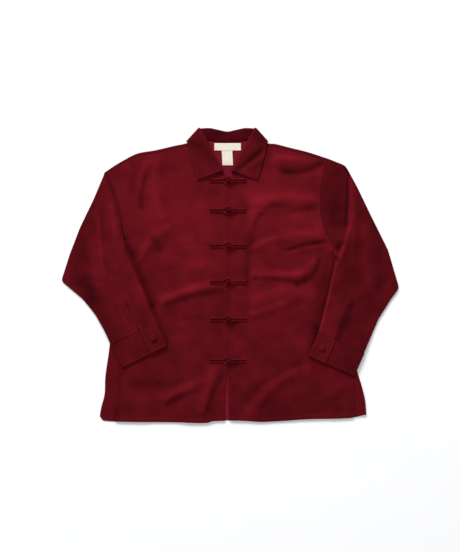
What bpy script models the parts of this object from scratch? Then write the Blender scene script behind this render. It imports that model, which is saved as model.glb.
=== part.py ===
"""A velvet shirt with a pointed collar and six knot closures, laid flat on its back.

Every table is in millimetres, in the garment's own measure: x runs from the centre front to the
wearer's left, y up from the hem at the centre front, and z up from the surface that it lies on.
"""

import math

import bpy
import numpy as np

# Driving sizes, in millimetres
VELVET = 1.2
COLLAR_WALL = 2.0
CUFF_WALL = 1.8
LABEL_WALL = 1.0
SEAM = 0.3
FOLD_RADIUS = 1.2
ROLL_RADIUS = 1.7
SHOULDER_WRAP = 8.0
CUFF_WIDTH = 124.0
CUFF_DEPTH = 62.0
CUFF_TAB = 46.0
CUFF_UNDERLAP = 22.0
SLEEVE_SLIT = 100.0
PLACKET_REACH = 9.0
PLACKET_WALL = 0.8
KNOT_HEIGHTS = (589.0, 516.0, 429.0, 340.5, 249.0, 147.5)
KNOT_X = 1.5
KNOT_RADIUS = 6.2
CORD_RADIUS = 2.4
BAR_REACH = 45.0
BUTTON_RADIUS = 8.0
BUTTON_HEIGHT = 4.6
LABEL_SIZE = (65.0, 18.0)
SIZE_LABEL = (26.0, 36.0)
FRAME_SHIFT = (-7.03, -356.9)

# Levels of the layers, in millimetres above the surface
BACK_LEVEL = VELVET / 2
FRONT_LEVEL = BACK_LEVEL + 2 * FOLD_RADIUS
FRONT_TOP = FRONT_LEVEL + VELVET / 2
NECK_LIFT = COLLAR_WALL + SEAM + 0.2
SLEEVE_CLEAR = 0.5

# Outlines: columns are x, y
SIDES = {
    -1: ((-313, 10), (-309, 34), (-301, 66), (-299, 110), (-290, 174), (-278, 284), (-266, 382),
         (-254, 442.6)),
    1: ((341, 15), (338, 51), (329, 88), (318, 125), (306, 186), (291, 272), (276, 345), (262, 410.5)),
}
ARMHOLES = {
    -1: ((-253, 446), (-259, 472), (-261, 494), (-268.5, 532), (-280, 563.5), (-293, 594), (-300, 610)),
    1: ((261, 414), (254, 436), (239, 468), (230, 500), (228, 541), (232, 590), (247, 643)),
}
SHOULDERS = {
    -1: ((-300, 610), (-273, 628), (-253, 639.5), (-233, 650.5), (-214, 657.5), (-175, 664), (-136, 673),
         (-101, 680), (-67, 690.5)),
    1: ((247, 643), (198, 659), (158, 669), (119, 678.5), (101, 680), (67, 690.5)),
}
HEM = ((-313, 10), (-302, 0), (-243, -2.5), (-126, -3.4), (-55, -4.5), (-35, 0), (0, 1), (43, 0), (85, -2.5),
       (139, 0), (198, 4), (296, 6.6), (341, 15))
BACK_NECK = ((-67, 690.5), (-42, 685), (0, 681.5), (42, 685), (67, 690.5))
FRONT_NECK = ((67, 690.5), (60, 662), (50, 629), (28, 606), (0.5, 599))
SLIT_EDGES = {
    -1: ((-6.4, -1), (-6.2, 40), (-3.5, 90), (-0.15, 125)),
    1: ((4.2, 0), (4.0, 40), (2.2, 90), (0.15, 125)),
}

# The back panel turns over the side fold: columns are height, width of the strip that shows in front
SIDE_STRIPS = {
    -1: ((0, 36), (110, 34), (250, 12), (430, 4)),
    1: ((15, 30), (125, 10), (250, 5), (390, 4)),
}

# Sleeves: columns are outer x, outer y, inner x, inner y, from the armhole to the cuff
SLEEVES = {
    -1: ((-329, 541, -248.5, 417), (-361, 475, -238, 391), (-386, 410, -226, 362.5), (-407.5, 343, -214, 338),
         (-356, 300, -199, 306), (-324, 261, -189.5, 281.5), (-302, 223, -181, 259)),
    1: ((290, 626, 264, 389), (318, 575, 261, 372), (354, 500, 254, 345),
        (394, 420, 249, 318), (421.5, 326, 241.5, 291), (402, 299, 237, 272), (371, 250, 230, 243)),
}
CUFF_CORNERS = {-1: ((-285, 186), (-173.5, 241)), 1: ((335, 167), (223, 217))}

# Largest folds: columns are start, middle and end of the spine, half width, height
FOLDS = (
    ((95, 640), (150, 652), (225, 640), 13, 3.6),
    ((68, 530), (120, 555), (222, 538), 15, 4.2),
    ((60, 470), (66, 518), (120, 536), 14, 2.8),
    ((70, 425), (120, 462), (225, 452), 13, 4.4),
    ((66, 360), (70, 345), (180, 358), 12, 3.8),
    ((180, 358), (212, 372), (238, 425), 12, 3.8),
    ((75, 290), (140, 330), (205, 300), 18, 3.4),
    ((-205, 560), (-215, 600), (-190, 645), 12, 3.0),
    ((-160, 500), (-185, 560), (-175, 640), 13, 3.2),
    ((-12, 335), (-80, 330), (-165, 285), 14, 4.0),
    ((-225, 380), (-205, 440), (-150, 470), 14, 3.6),
    ((-150, 400), (-110, 370), (-60, 380), 15, 2.6),
    ((-32, 126), (-42, 90), (-62, 20), 13, 3.8),
    ((-60, 95), (-110, 82), (-150, 55), 13, 3.0),
    ((60, 20), (95, 90), (190, 120), 15, 3.6),
    ((215, 40), (260, 75), (300, 90), 15, 2.6),
)
SLEEVE_FOLDS = (
    ((-345, 470), (-320, 400), (-318, 330), 12, 2.4),
    ((-285, 520), (-272, 460), (-255, 400), 11, 2.2),
    ((300, 610), (302, 540), (304, 500), 11, 3.4),
    ((345, 470), (340, 400), (350, 320), 14, 2.4),
    ((290, 460), (285, 400), (272, 340), 11, 2.0),
)

# Collar, one half from the front end to the centre back: columns are the neck seam's x and y, the roll's x
# and y, the outer edge's x and y, then the levels of the seam, the stand and the fall at the roll, and the
# outer edge. The first rows lie over the front, and the others are folded round the shoulder to the back.
COLLAR_FRONT = (
    (13, 603.5, 9.5, 613, 75, 588.5, 5.0, 5.4, 8.8, 5.6),
    (29, 610, 19, 629, 80, 606, 5.0, 5.4, 8.8, 5.7),
    (47.5, 631, 31, 648, 86.5, 628, 5.4, 5.8, 9.2, 6.5),
    (55.5, 656, 41.5, 668, 92, 650, 6.2, 6.6, 10.0, 7.9),
    (55, 677, 50, 687, 96.5, 668, 6.8, 7.1, 10.5, 8.6),
    (59, 685.5, 57.5, 700, 97.5, 675, 7.0, 7.4, 10.8, 8.8),
    (63, 693, 66.5, 716, 98, 681.5, 7.2, 7.6, 11.0, 8.9),
)
COLLAR_BACK = (
    (62, 694, 65.5, 716, 97, 681, 3.7, 4.4, 1.1, 1.1),
    (38, 687.2, 43, 717, 66, 660, 3.7, 4.4, 1.1, 1.1),
    (18, 683.8, 21, 712.5, 32, 656, 3.7, 4.4, 1.1, 1.1),
    (0, 682.8, 0, 708.6, 0, 655, 3.7, 4.4, 1.1, 1.1),
)

BURGUNDY = (0.110, 0.006, 0.010)
BURGUNDY_KNOT = (0.075, 0.004, 0.008)
LABEL_WHITE = (0.80, 0.77, 0.70)


def smooth_step(value):
    """0 below 0, 1 above 1, and a soft S between."""
    t = np.clip(value, 0.0, 1.0)
    return t * t * (3 - 2 * t)


def spline(points, per_span=12):
    """A smooth line through the points, as many short steps."""
    p = np.array(points, float)
    padded = np.vstack([2 * p[0] - p[1], p, 2 * p[-1] - p[-2]])
    steps = np.linspace(0, 1, per_span, endpoint=False)[:, None]
    spans = []
    for a, b, c, d in zip(padded, padded[1:], padded[2:], padded[3:]):
        m1 = (c - a) / 2
        m2 = (d - b) / 2
        t = steps
        spans.append((2 * t**3 - 3 * t**2 + 1) * b + (t**3 - 2 * t**2 + t) * m1
                     + (-2 * t**3 + 3 * t**2) * c + (t**3 - t**2) * m2)
    return np.vstack(spans + [p[-1:]])


def along(line, fractions):
    """Points at these fractions of the line's length."""
    steps = np.linalg.norm(np.diff(line, axis=0), axis=1)
    lengths = np.concatenate([[0], np.cumsum(steps)])
    wanted = np.asarray(fractions) * lengths[-1]
    return np.stack([np.interp(wanted, lengths, line[:, k]) for k in range(line.shape[1])], axis=-1)


def distance_to(line, x, y):
    """Distance in plan from each point to a line of short steps."""
    x = np.asarray(x, float)
    y = np.asarray(y, float)
    best = np.full(x.shape, 1e9)
    for (ax, ay), (bx, by) in zip(line[:-1, :2], line[1:, :2]):
        dx, dy = bx - ax, by - ay
        t = np.clip(((x - ax) * dx + (y - ay) * dy) / (dx * dx + dy * dy + 1e-12), 0, 1)
        best = np.minimum(best, np.hypot(x - ax - t * dx, y - ay - t * dy))
    return best


SHARES = np.array((0.0, 0.1, 0.22, 0.36, 0.38, 0.5, 0.64, 0.78, 0.9, 1.0))
SLIT_CELL = 3
SIDE_LINES = {s: spline(SIDES[s]) for s in (-1, 1)}
ARMHOLE_LINES = {s: along(spline(ARMHOLES[s]), SHARES) for s in (-1, 1)}
SHOULDER_LINES = {s: spline(SHOULDERS[s]) for s in (-1, 1)}
FALL_EDGE = np.array([row[4:6] for row in COLLAR_BACK[::-1]])


def fold_height(x, y, folds):
    """The sum of the soft ridges in a table."""
    total = np.zeros(np.shape(x))
    for start, middle, end, half_width, height in folds:
        t = np.linspace(0, 1, 14)[:, None]
        spine = (1 - t) ** 2 * np.array(start) + 2 * t * (1 - t) * np.array(middle) + t**2 * np.array(end)
        away = distance_to(spine, x, y)
        total = total + height * np.exp(-((away / half_width) ** 2))
    return total


def neck_lift(x, y):
    """How far the panels ride up on the fall of the collar that lies under them."""
    x = np.abs(x)
    inside = (x < FALL_EDGE[-1, 0]) & (y > np.interp(x, FALL_EDGE[:, 0], FALL_EDGE[:, 1]))
    away = np.where(inside, 0.0, distance_to(FALL_EDGE, x, y))
    return NECK_LIFT * (1 - smooth_step((away - 12) / 40))


def front_level(x, y):
    """Middle of the front panels' wall above the surface."""
    x = np.asarray(x, float)
    y = np.asarray(y, float)
    edges = np.full(x.shape, 1e9)
    for s in (-1, 1):
        edges = np.minimum(edges, distance_to(SIDE_LINES[s], x, y) - 30)
        edges = np.minimum(edges, distance_to(ARMHOLE_LINES[s], x, y))
        edges = np.minimum(edges, distance_to(SHOULDER_LINES[s], x, y) - 9)
    calm = smooth_step(edges / 26) * smooth_step(np.abs(x) / 40) * smooth_step((y + 6) / 30)
    calm = calm * (1 - smooth_step((y - 600) / 50) * (1 - smooth_step((np.abs(x) - 105) / 20)))
    under_sleeve = smooth_step((sleeve_away(x, y) - 20) / 20)
    return FRONT_LEVEL + neck_lift(x, y) + calm * under_sleeve * fold_height(x, y, FOLDS)


def sleeve_away(x, y):
    """Distance from the sleeves' cover, 0 below them."""
    best = np.full(np.shape(x), 1e9)
    for s in (-1, 1):
        inner = spline([ARMHOLES[s][0]] + [(ix, iy) for _, _, ix, iy in SLEEVES[s]] + [CUFF_CORNERS[s][1]])
        edge_x = np.interp(y, inner[::-1, 1], inner[::-1, 0])
        reach = s * (edge_x - x)
        top, bottom = inner[0, 1], inner[-1, 1]
        outside = np.maximum(np.maximum(y - top, bottom - y), 0)
        best = np.minimum(best, np.hypot(np.maximum(reach, 0), outside))
    return best


def sleeve_base(side, x, y):
    """Underside of a sleeve: on the surface beside the body, and on the body where it lies over it."""
    side_line = SIDE_LINES[side]
    edge_x = np.interp(y, side_line[:, 1], side_line[:, 0])
    over = (side * (edge_x - x) > 0) & (y < ARMHOLES[side][0][1])
    away = np.where(over, 0.0, distance_to(side_line, x, y))
    return (FRONT_TOP + SLEEVE_CLEAR) * (1 - smooth_step((away - 10) / 56))


def material(name, colour, roughness):
    found = bpy.data.materials.new(name)
    found.use_nodes = True
    shader = found.node_tree.nodes["Principled BSDF"]
    shader.inputs["Base Color"].default_value = (*colour, 1)
    shader.inputs["Roughness"].default_value = roughness
    shader.inputs["Metallic"].default_value = 0.0
    return found


def place(points):
    """Garment millimetres to metres about the middle of the whole outline."""
    return (np.asarray(points, float) + (*FRAME_SHIFT, 0.0)) * 0.001


def add_mesh(name, points, triangles, cloth):
    """A closed object from points in garment millimetres, with its faces turned outwards."""
    p = np.asarray(points, float)
    f = np.asarray(triangles, int)
    volume = np.einsum("ij,ij->i", p[f[:, 0]], np.cross(p[f[:, 1]], p[f[:, 2]])).sum()
    if volume < 0:
        f = f[:, ::-1]
    mesh = bpy.data.meshes.new(name)
    mesh.from_pydata(place(p).tolist(), [], f.tolist())
    mesh.materials.append(cloth)
    made = bpy.data.objects.new(name, mesh)
    bpy.context.scene.collection.objects.link(made)
    mesh.shade_smooth()
    mesh.set_sharp_from_angle(angle=math.radians(40))
    return made


def grid_normals(mid, cells, ring):
    """A normal at each point of a grid, from the cells that it uses."""
    rows, columns = mid.shape[:2]
    wrap = np.concatenate([mid, mid[:, :1]], axis=1) if ring else mid
    across = wrap[:-1, 1:] - wrap[1:, :-1]
    down = wrap[1:, 1:] - wrap[:-1, :-1]
    facing = np.cross(down, across) * cells[..., None]
    total = np.zeros_like(mid)
    for dj in (0, 1):
        for di in (0, 1):
            down_to = np.arange(rows - 1) + dj
            across_to = (np.arange(cells.shape[1]) + di) % columns
            j, i = np.meshgrid(down_to, across_to, indexing="ij")
            np.add.at(total, (j, i), facing)
    size = np.linalg.norm(total, axis=-1, keepdims=True)
    return total / np.where(size > 0, size, 1)


def wall(name, mid, half, cloth, cells=None, ring=False, turned=None):
    """A cloth wall round a grid of middle points. Cells says which squares of the grid are cloth, and
    turned says which are split along their other diagonal."""
    rows, columns = mid.shape[:2]
    if cells is None:
        cells = np.ones((rows - 1, columns if ring else columns - 1), bool)
    normals = grid_normals(mid, cells, ring)
    if normals[..., 2][np.abs(normals[..., 2]) > 0].mean() < 0 and not ring:
        normals = -normals
    number = np.arange(rows * columns).reshape(rows, columns)
    j, i = np.nonzero(cells)
    after = (i + 1) % columns
    a, b, c, d = number[j, i], number[j, after], number[j + 1, after], number[j + 1, i]
    other = turned[j, i][:, None] if turned is not None else np.zeros((len(a), 1), bool)
    faces = np.concatenate([np.where(other, np.stack([a, b, d], 1), np.stack([a, b, c], 1)),
                            np.where(other, np.stack([b, c, d], 1), np.stack([a, c, d], 1))])
    count = rows * columns
    edges = np.concatenate([np.stack(e, 1) for e in ((a, b), (b, c), (c, d), (d, a))])
    key = np.sort(edges, axis=1)
    _, index, uses = np.unique(key, axis=0, return_inverse=True, return_counts=True)
    rim = edges[uses[index.reshape(-1)] == 1]
    sides = np.concatenate([np.stack([rim[:, 0], rim[:, 0] + count, rim[:, 1] + count], 1),
                            np.stack([rim[:, 0], rim[:, 1] + count, rim[:, 1]], 1)])
    triangles = np.concatenate([faces, faces[:, ::-1] + count, sides])
    outer = (mid + normals * half).reshape(-1, 3)
    inner = (mid - normals * half).reshape(-1, 3)
    points = np.concatenate([outer, inner])
    used, triangles = np.unique(triangles, return_inverse=True)
    return add_mesh(name, points[used], triangles.reshape(-1, 3), cloth)


def patch(bottom, top, left, right):
    """A grid between four lines: the first two run left to right, the others bottom to top."""
    u = np.linspace(0, 1, len(bottom))[None, :, None]
    v = np.linspace(0, 1, len(left))[:, None, None]
    flat = (1 - v) * bottom[None] + v * top[None] + (1 - u) * left[:, None] + u * right[:, None]
    corners = ((1 - u) * (1 - v) * bottom[0] + u * (1 - v) * bottom[-1]
               + (1 - u) * v * top[0] + u * v * top[-1])
    return flat - corners


SIDE_ROWS = 13
FRONT_COLUMNS = 16
SHOULDER_COLUMNS = 8
NECK_COLUMNS = 5
FOLD_ANGLES = tuple(math.radians(a) for a in (45, 90, 135, 180))
SIDE_FRACTIONS = np.concatenate([np.linspace(0, 0.93, SIDE_ROWS - 1), [1.0]])


def side_rows(side):
    """Rows up the side fold, with the way inwards at each."""
    fold = along(SIDE_LINES[side], SIDE_FRACTIONS)
    run = np.gradient(fold, axis=0)
    ways = np.stack([-run[:, 1], run[:, 0]], axis=1) * side
    return fold, ways / np.linalg.norm(ways, axis=1, keepdims=True)


def shoulder_rows(side):
    """Points along the shoulder's fold from the armhole to the neck, with the way over to the front."""
    tops = along(SHOULDER_LINES[side], np.linspace(0, 1, SHOULDER_COLUMNS))
    down_arm = ARMHOLE_LINES[side][-2] - ARMHOLE_LINES[side][-1]
    down_arm = down_arm / np.linalg.norm(down_arm)
    blend = smooth_step(np.arange(SHOULDER_COLUMNS) / 2)[:, None]
    ways = (1 - blend) * down_arm + blend * np.array([0.0, -1.0])
    return tops, ways / np.linalg.norm(ways, axis=1, keepdims=True)


def strip_widths(side, heights):
    table = np.array(SIDE_STRIPS[side], float)
    return np.interp(heights, table[:, 0], table[:, 1])


def fold_over(tops, ways, widths):
    """The rows of a panel's turn round a fold, from 45 degrees to the end of the strip on the front."""
    rows = []
    for angle in FOLD_ANGLES:
        reach = VELVET / 2 + FOLD_RADIUS * (1 - math.sin(angle))
        level = BACK_LEVEL + FOLD_RADIUS * (1 - math.cos(angle))
        rows.append((tops + ways * reach, level))
    rows.append((tops + ways * widths[:, None], FRONT_LEVEL))
    lifts = [neck_lift(at[:, 0], at[:, 1])[:, None] for at, _ in rows]
    return [np.concatenate([at, level + lift], axis=1) for (at, level), lift in zip(rows, lifts)]


def build_back(cloth):
    """One panel on the surface. It turns over both side folds and both shoulders to the front."""
    turn = FOLD_RADIUS + VELVET / 2
    sides = {s: side_rows(s) for s in (-1, 1)}
    shoulders = {s: shoulder_rows(s) for s in (-1, 1)}
    edges = {}
    for s in (-1, 1):
        fold, ways = sides[s]
        edges[s] = np.vstack([fold + ways * turn, ARMHOLE_LINES[s]])
        edges[s][-1] = shoulders[s][0][0] + shoulders[s][1][0] * turn
    neck = along(spline(BACK_NECK), np.linspace(0, 1, 2 * NECK_COLUMNS - 1))
    inner = {s: shoulders[s][0] + shoulders[s][1] * turn for s in (-1, 1)}
    neck[0], neck[-1] = inner[-1][-1], inner[1][-1]
    top = np.vstack([inner[-1][:-1], neck, inner[1][::-1][1:]])
    columns = len(top)
    bottom = np.stack([np.linspace(edges[-1][0, 0], edges[1][0, 0], columns), np.zeros(columns)], axis=1)
    hem = spline(HEM)
    bottom[:, 1] = np.interp(bottom[:, 0], hem[:, 0], hem[:, 1])
    bottom[0], bottom[-1] = edges[-1][0], edges[1][0]
    flat = patch(bottom, top, edges[-1], edges[1])
    levels = BACK_LEVEL + neck_lift(flat[..., 0], flat[..., 1])
    rows = flat.shape[0]
    extra = len(FOLD_ANGLES) + 1
    full = np.zeros((rows + extra, columns + 2 * extra, 3))
    full[:rows, extra:extra + columns] = np.concatenate([flat, levels[..., None]], axis=-1)
    for s, first, step in ((-1, extra - 1, -1), (1, extra + columns, 1)):
        fold, ways = sides[s]
        for k, line in enumerate(fold_over(fold, ways, strip_widths(s, fold[:, 1]))):
            full[:SIDE_ROWS, first + step * k] = line
    last = SHOULDER_COLUMNS - 1
    places = {-1: np.arange(last + 1), 1: np.arange(columns - 1, columns - last - 2, -1)}
    for s in (-1, 1):
        tops, ways = shoulders[s]
        for k, line in enumerate(fold_over(tops, ways, np.full(len(tops), SHOULDER_WRAP))):
            full[rows + k, extra + places[s]] = line
    cells = np.zeros((full.shape[0] - 1, full.shape[1] - 1), bool)
    cells[: rows - 1, extra:extra + columns - 1] = True
    cells[: SIDE_ROWS - 1, :extra] = True
    cells[: SIDE_ROWS - 1, extra + columns - 1:] = True
    cells[rows - 1:, extra:extra + last] = True
    cells[rows - 1:, extra + columns - 1 - last:extra + columns - 1] = True
    wall("back", full, VELVET / 2, cloth, cells)


def build_front(side, cloth):
    """One front panel, from the side seam and armhole to the centre front edge."""
    fold, ways = side_rows(side)
    seam = fold + ways * (strip_widths(side, fold[:, 1]) + SEAM)[:, None]
    tops, over = shoulder_rows(side)
    shoulder = tops + over * (SHOULDER_WRAP + SEAM)
    outer = np.vstack([seam, ARMHOLE_LINES[side]])
    outer[-1] = shoulder[0]
    neck = spline([(side * x, y) for x, y in FRONT_NECK])
    below = neck[neck[:, 1] < shoulder[-1, 1] - 1]
    neck = along(np.vstack([shoulder[-1:], below]), np.linspace(0, 1, FRONT_COLUMNS - SHOULDER_COLUMNS + 1))
    top = np.vstack([shoulder[:-1], neck])
    slit = spline(SLIT_EDGES[side])
    heights = np.linspace(slit[0, 1], top[-1, 1], len(outer))
    centre = np.stack([np.interp(heights, slit[:, 1], slit[:, 0]), heights], axis=1)
    centre[:, 0] = np.where(heights > slit[-1, 1], side * SEAM / 2, centre[:, 0])
    centre[-1] = top[-1]
    hem = spline(HEM)
    bottom_x = np.linspace(outer[0, 0], centre[0, 0], FRONT_COLUMNS)
    bottom = np.stack([bottom_x, np.interp(bottom_x, hem[:, 0], hem[:, 1])], axis=1)
    bottom[0] = outer[0]
    centre[0] = bottom[-1]
    flat = patch(bottom, top, outer, centre)
    levels = front_level(flat[..., 0], flat[..., 1])
    name = "front_left" if side > 0 else "front_right"
    wall(name, np.concatenate([flat, levels[..., None]], axis=-1), VELVET / 2, cloth)


STATION_STEP = 26.0
RING_ARCS = np.radians([45, 90, 135])


def sleeve_sections(side):
    """Outer and inner ends of lines across a sleeve, and how far along it each one is."""
    cuff_outer, cuff_inner = CUFF_CORNERS[side]
    table = [(*ARMHOLES[side][-1], *ARMHOLES[side][0]), *SLEEVES[side], (*cuff_outer, *cuff_inner)]
    table = np.array(table, float)
    rows = [table[:1]]
    for number, (before, after) in enumerate(zip(table, table[1:])):
        move = np.linalg.norm((after[:2] + after[2:] - before[:2] - before[2:]) / 2)
        count = max(1, round(move / STATION_STEP)) if number else 1
        rows.append(before + np.outer(np.arange(1, count + 1) / count, after - before))
    rows = np.vstack(rows)
    middle = (rows[:, :2] + rows[:, 2:]) / 2
    gone = np.concatenate([[0], np.cumsum(np.linalg.norm(np.diff(middle, axis=0), axis=1))])
    return rows, gone


def section_points(side, row, gone, fractions):
    """Points across one section. The armhole's curve fades out along the sleeve."""
    outer, inner = row[:2], row[2:]
    straight = inner + np.outer(fractions, outer - inner)
    arm = ARMHOLE_LINES[side]
    chord = arm[0] + np.outer(fractions, arm[-1] - arm[0])
    return straight + (along(arm, fractions) - chord) * max(0.0, 1 - gone / 40)


def fold_ways(folds, others, side):
    """Steps in plan that move a point in by one unit from a sleeve's fold, section by section."""
    run = np.gradient(folds, axis=0)
    run = run / np.linalg.norm(run, axis=1, keepdims=True)
    square = np.stack([-run[:, 1], run[:, 0]], axis=1) * side
    section = (others - folds) / np.linalg.norm(others - folds, axis=1, keepdims=True)
    acute = (section * run).sum(axis=1, keepdims=True) > 0
    return np.where(acute, section / (section * square).sum(axis=1, keepdims=True), square)


def ring_points(side, row, gone, room, outer_way, inner_way):
    """One closed ring round a flat sleeve: upper layer, outer fold, lower layer, inner fold."""
    width = np.linalg.norm(row[:2] - row[2:])
    turn = FOLD_RADIUS + VELVET / 2
    plan = section_points(side, row, gone, SHARES)
    plan[0] = plan[0] + inner_way * turn
    plan[-1] = plan[-1] + outer_way * turn
    reach = (turn - FOLD_RADIUS * np.sin(RING_ARCS))[:, None]
    plan = np.vstack([plan, row[:2] + outer_way * reach, plan[::-1], row[2:] + inner_way * reach])
    arc = np.zeros(len(RING_ARCS))
    shares = np.concatenate([SHARES, 1 - arc, SHARES[::-1], arc])
    layers = np.ones(len(SHARES))
    mix = np.concatenate([layers, (1 + np.cos(RING_ARCS)) / 2, 0 * layers, (1 - np.cos(RING_ARCS)) / 2])
    x, y = plan[:, 0], plan[:, 1]
    base = sleeve_base(side, x, y) + BACK_LEVEL
    edge = smooth_step(np.minimum(shares, 1 - shares) * width / 20)
    folds = edge * fold_height(x, y, SLEEVE_FOLDS) * smooth_step((gone - 6) / 20)
    return np.stack([x, y, base + (room + folds) * mix], axis=1)


def build_sleeve(side, cloth):
    """A flat tube from the armhole to the cuff, slit above the cuff, with the strip behind the slit."""
    rows, gone = sleeve_sections(side)
    total = gone[-1]
    rooms = 2 * FOLD_RADIUS + 0.9 * smooth_step((gone - total + SLEEVE_SLIT + 50) / 30)
    outer_ways = fold_ways(rows[:, :2], rows[:, 2:], -side)
    inner_ways = fold_ways(rows[:, 2:], rows[:, :2], side)
    mid = np.array([ring_points(side, *given) for given in zip(rows, gone, rooms, outer_ways, inner_ways)])
    arm = ARMHOLE_LINES[side]
    chord = (arm[-1] - arm[0]) / np.linalg.norm(arm[-1] - arm[0])
    mid[0, :, :2] += np.array([chord[1], -chord[0]]) * side * 2 * SEAM
    cells = np.ones((len(mid) - 1, mid.shape[1]), bool)
    slit = (gone[:-1] + gone[1:]) / 2 > total - SLEEVE_SLIT
    cells[slit, SLIT_CELL] = False
    turned = np.zeros(cells.shape, bool)
    turned[:, len(SHARES) + 1:] = True
    name = "left" if side > 0 else "right"
    wall("sleeve_" + name, mid, VELVET / 2, cloth, cells, ring=True, turned=turned)
    first = int(np.nonzero(slit)[0][0])
    build_placket("placket_" + name, mid[first:], cloth)


def build_placket(name, rings, cloth):
    """The strip behind a sleeve's slit, made from the points beside the slit, moved in."""
    rings = rings.copy()
    rings[-1] += (rings[-2] - rings[-1]) * 0.16
    rows = []
    for ring in rings:
        before, left, right, after = ring[SLIT_CELL - 1:SLIT_CELL + 3]
        out_left = (before - left) / np.linalg.norm(before - left)
        out_right = (after - right) / np.linalg.norm(after - right)
        rows.append([left + out_left * PLACKET_REACH, left, right, right + out_right * PLACKET_REACH])
    mid = np.array(rows)
    mid[..., 2] -= VELVET / 2 + SEAM + PLACKET_WALL / 2
    wall(name, mid, PLACKET_WALL / 2, cloth)


def cuff_frame(side):
    """Corner at the inner fold on the sleeve's end, and unit directions across and down the cuff."""
    outer, inner = (np.array(c, float) for c in CUFF_CORNERS[side])
    across = (outer - inner) / np.linalg.norm(outer - inner)
    down = np.array([-across[1], across[0]])
    if down[1] > 0:
        down = -down
    return inner, across, down


CUFF_LOW = CUFF_WALL / 2
CUFF_MID = CUFF_LOW + 2.5
CUFF_HIGH = CUFF_MID + CUFF_WALL + SEAM + 0.1


def cuff_path():
    """The strip's way round the wrist from the tab's end to the underlap: across, level."""
    inner_radius = (CUFF_HIGH - CUFF_LOW) / 2
    outer_radius = (CUFF_MID - CUFF_LOW) / 2
    inner_turn = inner_radius + CUFF_WALL / 2
    outer_turn = outer_radius + CUFF_WALL / 2
    path = [(CUFF_TAB * k, CUFF_HIGH) for k in (1.0, 0.66, 0.33)] + [(inner_turn, CUFF_HIGH)]
    for angle in RING_ARCS:
        level = CUFF_LOW + inner_radius * (1 + math.cos(angle))
        path.append((inner_turn - inner_radius * math.sin(angle), level))
    far = CUFF_WIDTH - outer_turn
    path += [(inner_turn + (far - inner_turn) * k, CUFF_LOW) for k in np.linspace(0, 1, 6)]
    for angle in RING_ARCS:
        level = CUFF_LOW + outer_radius * (1 - math.cos(angle))
        path.append((far + outer_radius * math.sin(angle), level))
    path += [(far - (far - CUFF_UNDERLAP) * k, CUFF_MID) for k in np.linspace(0, 1, 5)]
    return np.array(path)


def build_cuff(side, cloth):
    """A band folded round on itself, its tab over its own end, and the covered button on the tab."""
    corner, across, down = cuff_frame(side)
    path = cuff_path()
    rows = []
    for depth in np.linspace(SEAM + 0.4, CUFF_DEPTH, 5):
        plan = corner + np.outer(path[:, 0], across) + down * depth
        level = path[:, 1] + sleeve_base(side, plan[:, 0], plan[:, 1])
        rows.append(np.concatenate([plan, level[:, None]], axis=1))
    name = "left" if side > 0 else "right"
    wall("cuff_" + name, np.array(rows), CUFF_WALL / 2, cloth)
    centre = corner + across * 23.0 + down * CUFF_DEPTH / 2
    level = float(sleeve_base(side, *centre)) + CUFF_HIGH + CUFF_WALL / 2 + SEAM
    dome("cuff_button_" + name, (*centre, level), BUTTON_RADIUS, BUTTON_HEIGHT, cloth)


def dome(name, foot, radius, height, cloth, around=16):
    """A low round button, flat below and domed above."""
    profile = [(0.94, 0.0), (1.0, 0.3), (0.9, 0.66), (0.55, 0.92)]
    turns = np.linspace(0, 2 * math.pi, around, endpoint=False)
    round_it = np.stack([np.cos(turns), np.sin(turns), 0 * turns], axis=1)
    rings = [round_it * radius * wide + (0, 0, height * high) for wide, high in profile]
    points = np.vstack(rings + [[(0, 0, 0)], [(0, 0, height)]]) + np.array(foot)
    low, high = len(points) - 2, len(points) - 1
    faces = ring_faces(len(profile), around)
    last = (len(profile) - 1) * around
    for k in range(around):
        n = (k + 1) % around
        faces.append((low, n, k))
        faces.append((high, last + k, last + n))
    return add_mesh(name, points, faces, cloth)


def ring_faces(rings, around):
    """Triangles between rings of points, one ring after another."""
    faces = []
    for j in range(rings - 1):
        for k in range(around):
            n = (k + 1) % around
            a, b, c, d = j * around + k, j * around + n, (j + 1) * around + n, (j + 1) * around + k
            faces += [(a, b, c), (a, c, d)]
    return faces


def tube(name, path, radius, cloth, sides=6):
    """A cord along a path, with closed ends."""
    path = np.asarray(path, float)
    run = np.gradient(path, axis=0)
    run /= np.linalg.norm(run, axis=1, keepdims=True)
    up = np.array([0.0, 0.0, 1.0])
    side = np.cross(run, up)
    side /= np.linalg.norm(side, axis=1, keepdims=True)
    lift = np.cross(side, run)
    turns = np.linspace(0, 2 * math.pi, sides, endpoint=False) + math.pi / sides
    rings = [centre + radius * (np.outer(np.cos(turns), sideways) + np.outer(np.sin(turns), upwards))
             for centre, sideways, upwards in zip(path, side, lift)]
    points = np.vstack(rings + [path[:1], path[-1:]])
    faces = ring_faces(len(path), sides)
    first, end = len(points) - 2, len(points) - 1
    last = (len(path) - 1) * sides
    for k in range(sides):
        n = (k + 1) % sides
        faces += [(first, n, k), (end, last + k, last + n)]
    return add_mesh(name, points, faces, cloth)


def ball(name, centre, radius, cloth, around=12, rings=5):
    """A round knot."""
    heights = np.linspace(-math.pi / 2, math.pi / 2, rings + 2)[1:-1]
    turns = np.linspace(0, 2 * math.pi, around, endpoint=False)
    round_it = np.stack([np.cos(turns), np.sin(turns), 0 * turns], axis=1)
    layers = [round_it * math.cos(h) + (0, 0, math.sin(h)) for h in heights]
    points = np.vstack(layers + [[(0, 0, -1)], [(0, 0, 1)]]) * radius + np.array(centre)
    faces = ring_faces(rings, around)
    low, high = len(points) - 2, len(points) - 1
    last = (rings - 1) * around
    for k in range(around):
        n = (k + 1) % around
        faces += [(low, n, k), (high, last + k, last + n)]
    return add_mesh(name, points, faces, cloth)


def front_top(x, y):
    return float(front_level(x, y)) + VELVET / 2


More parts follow.
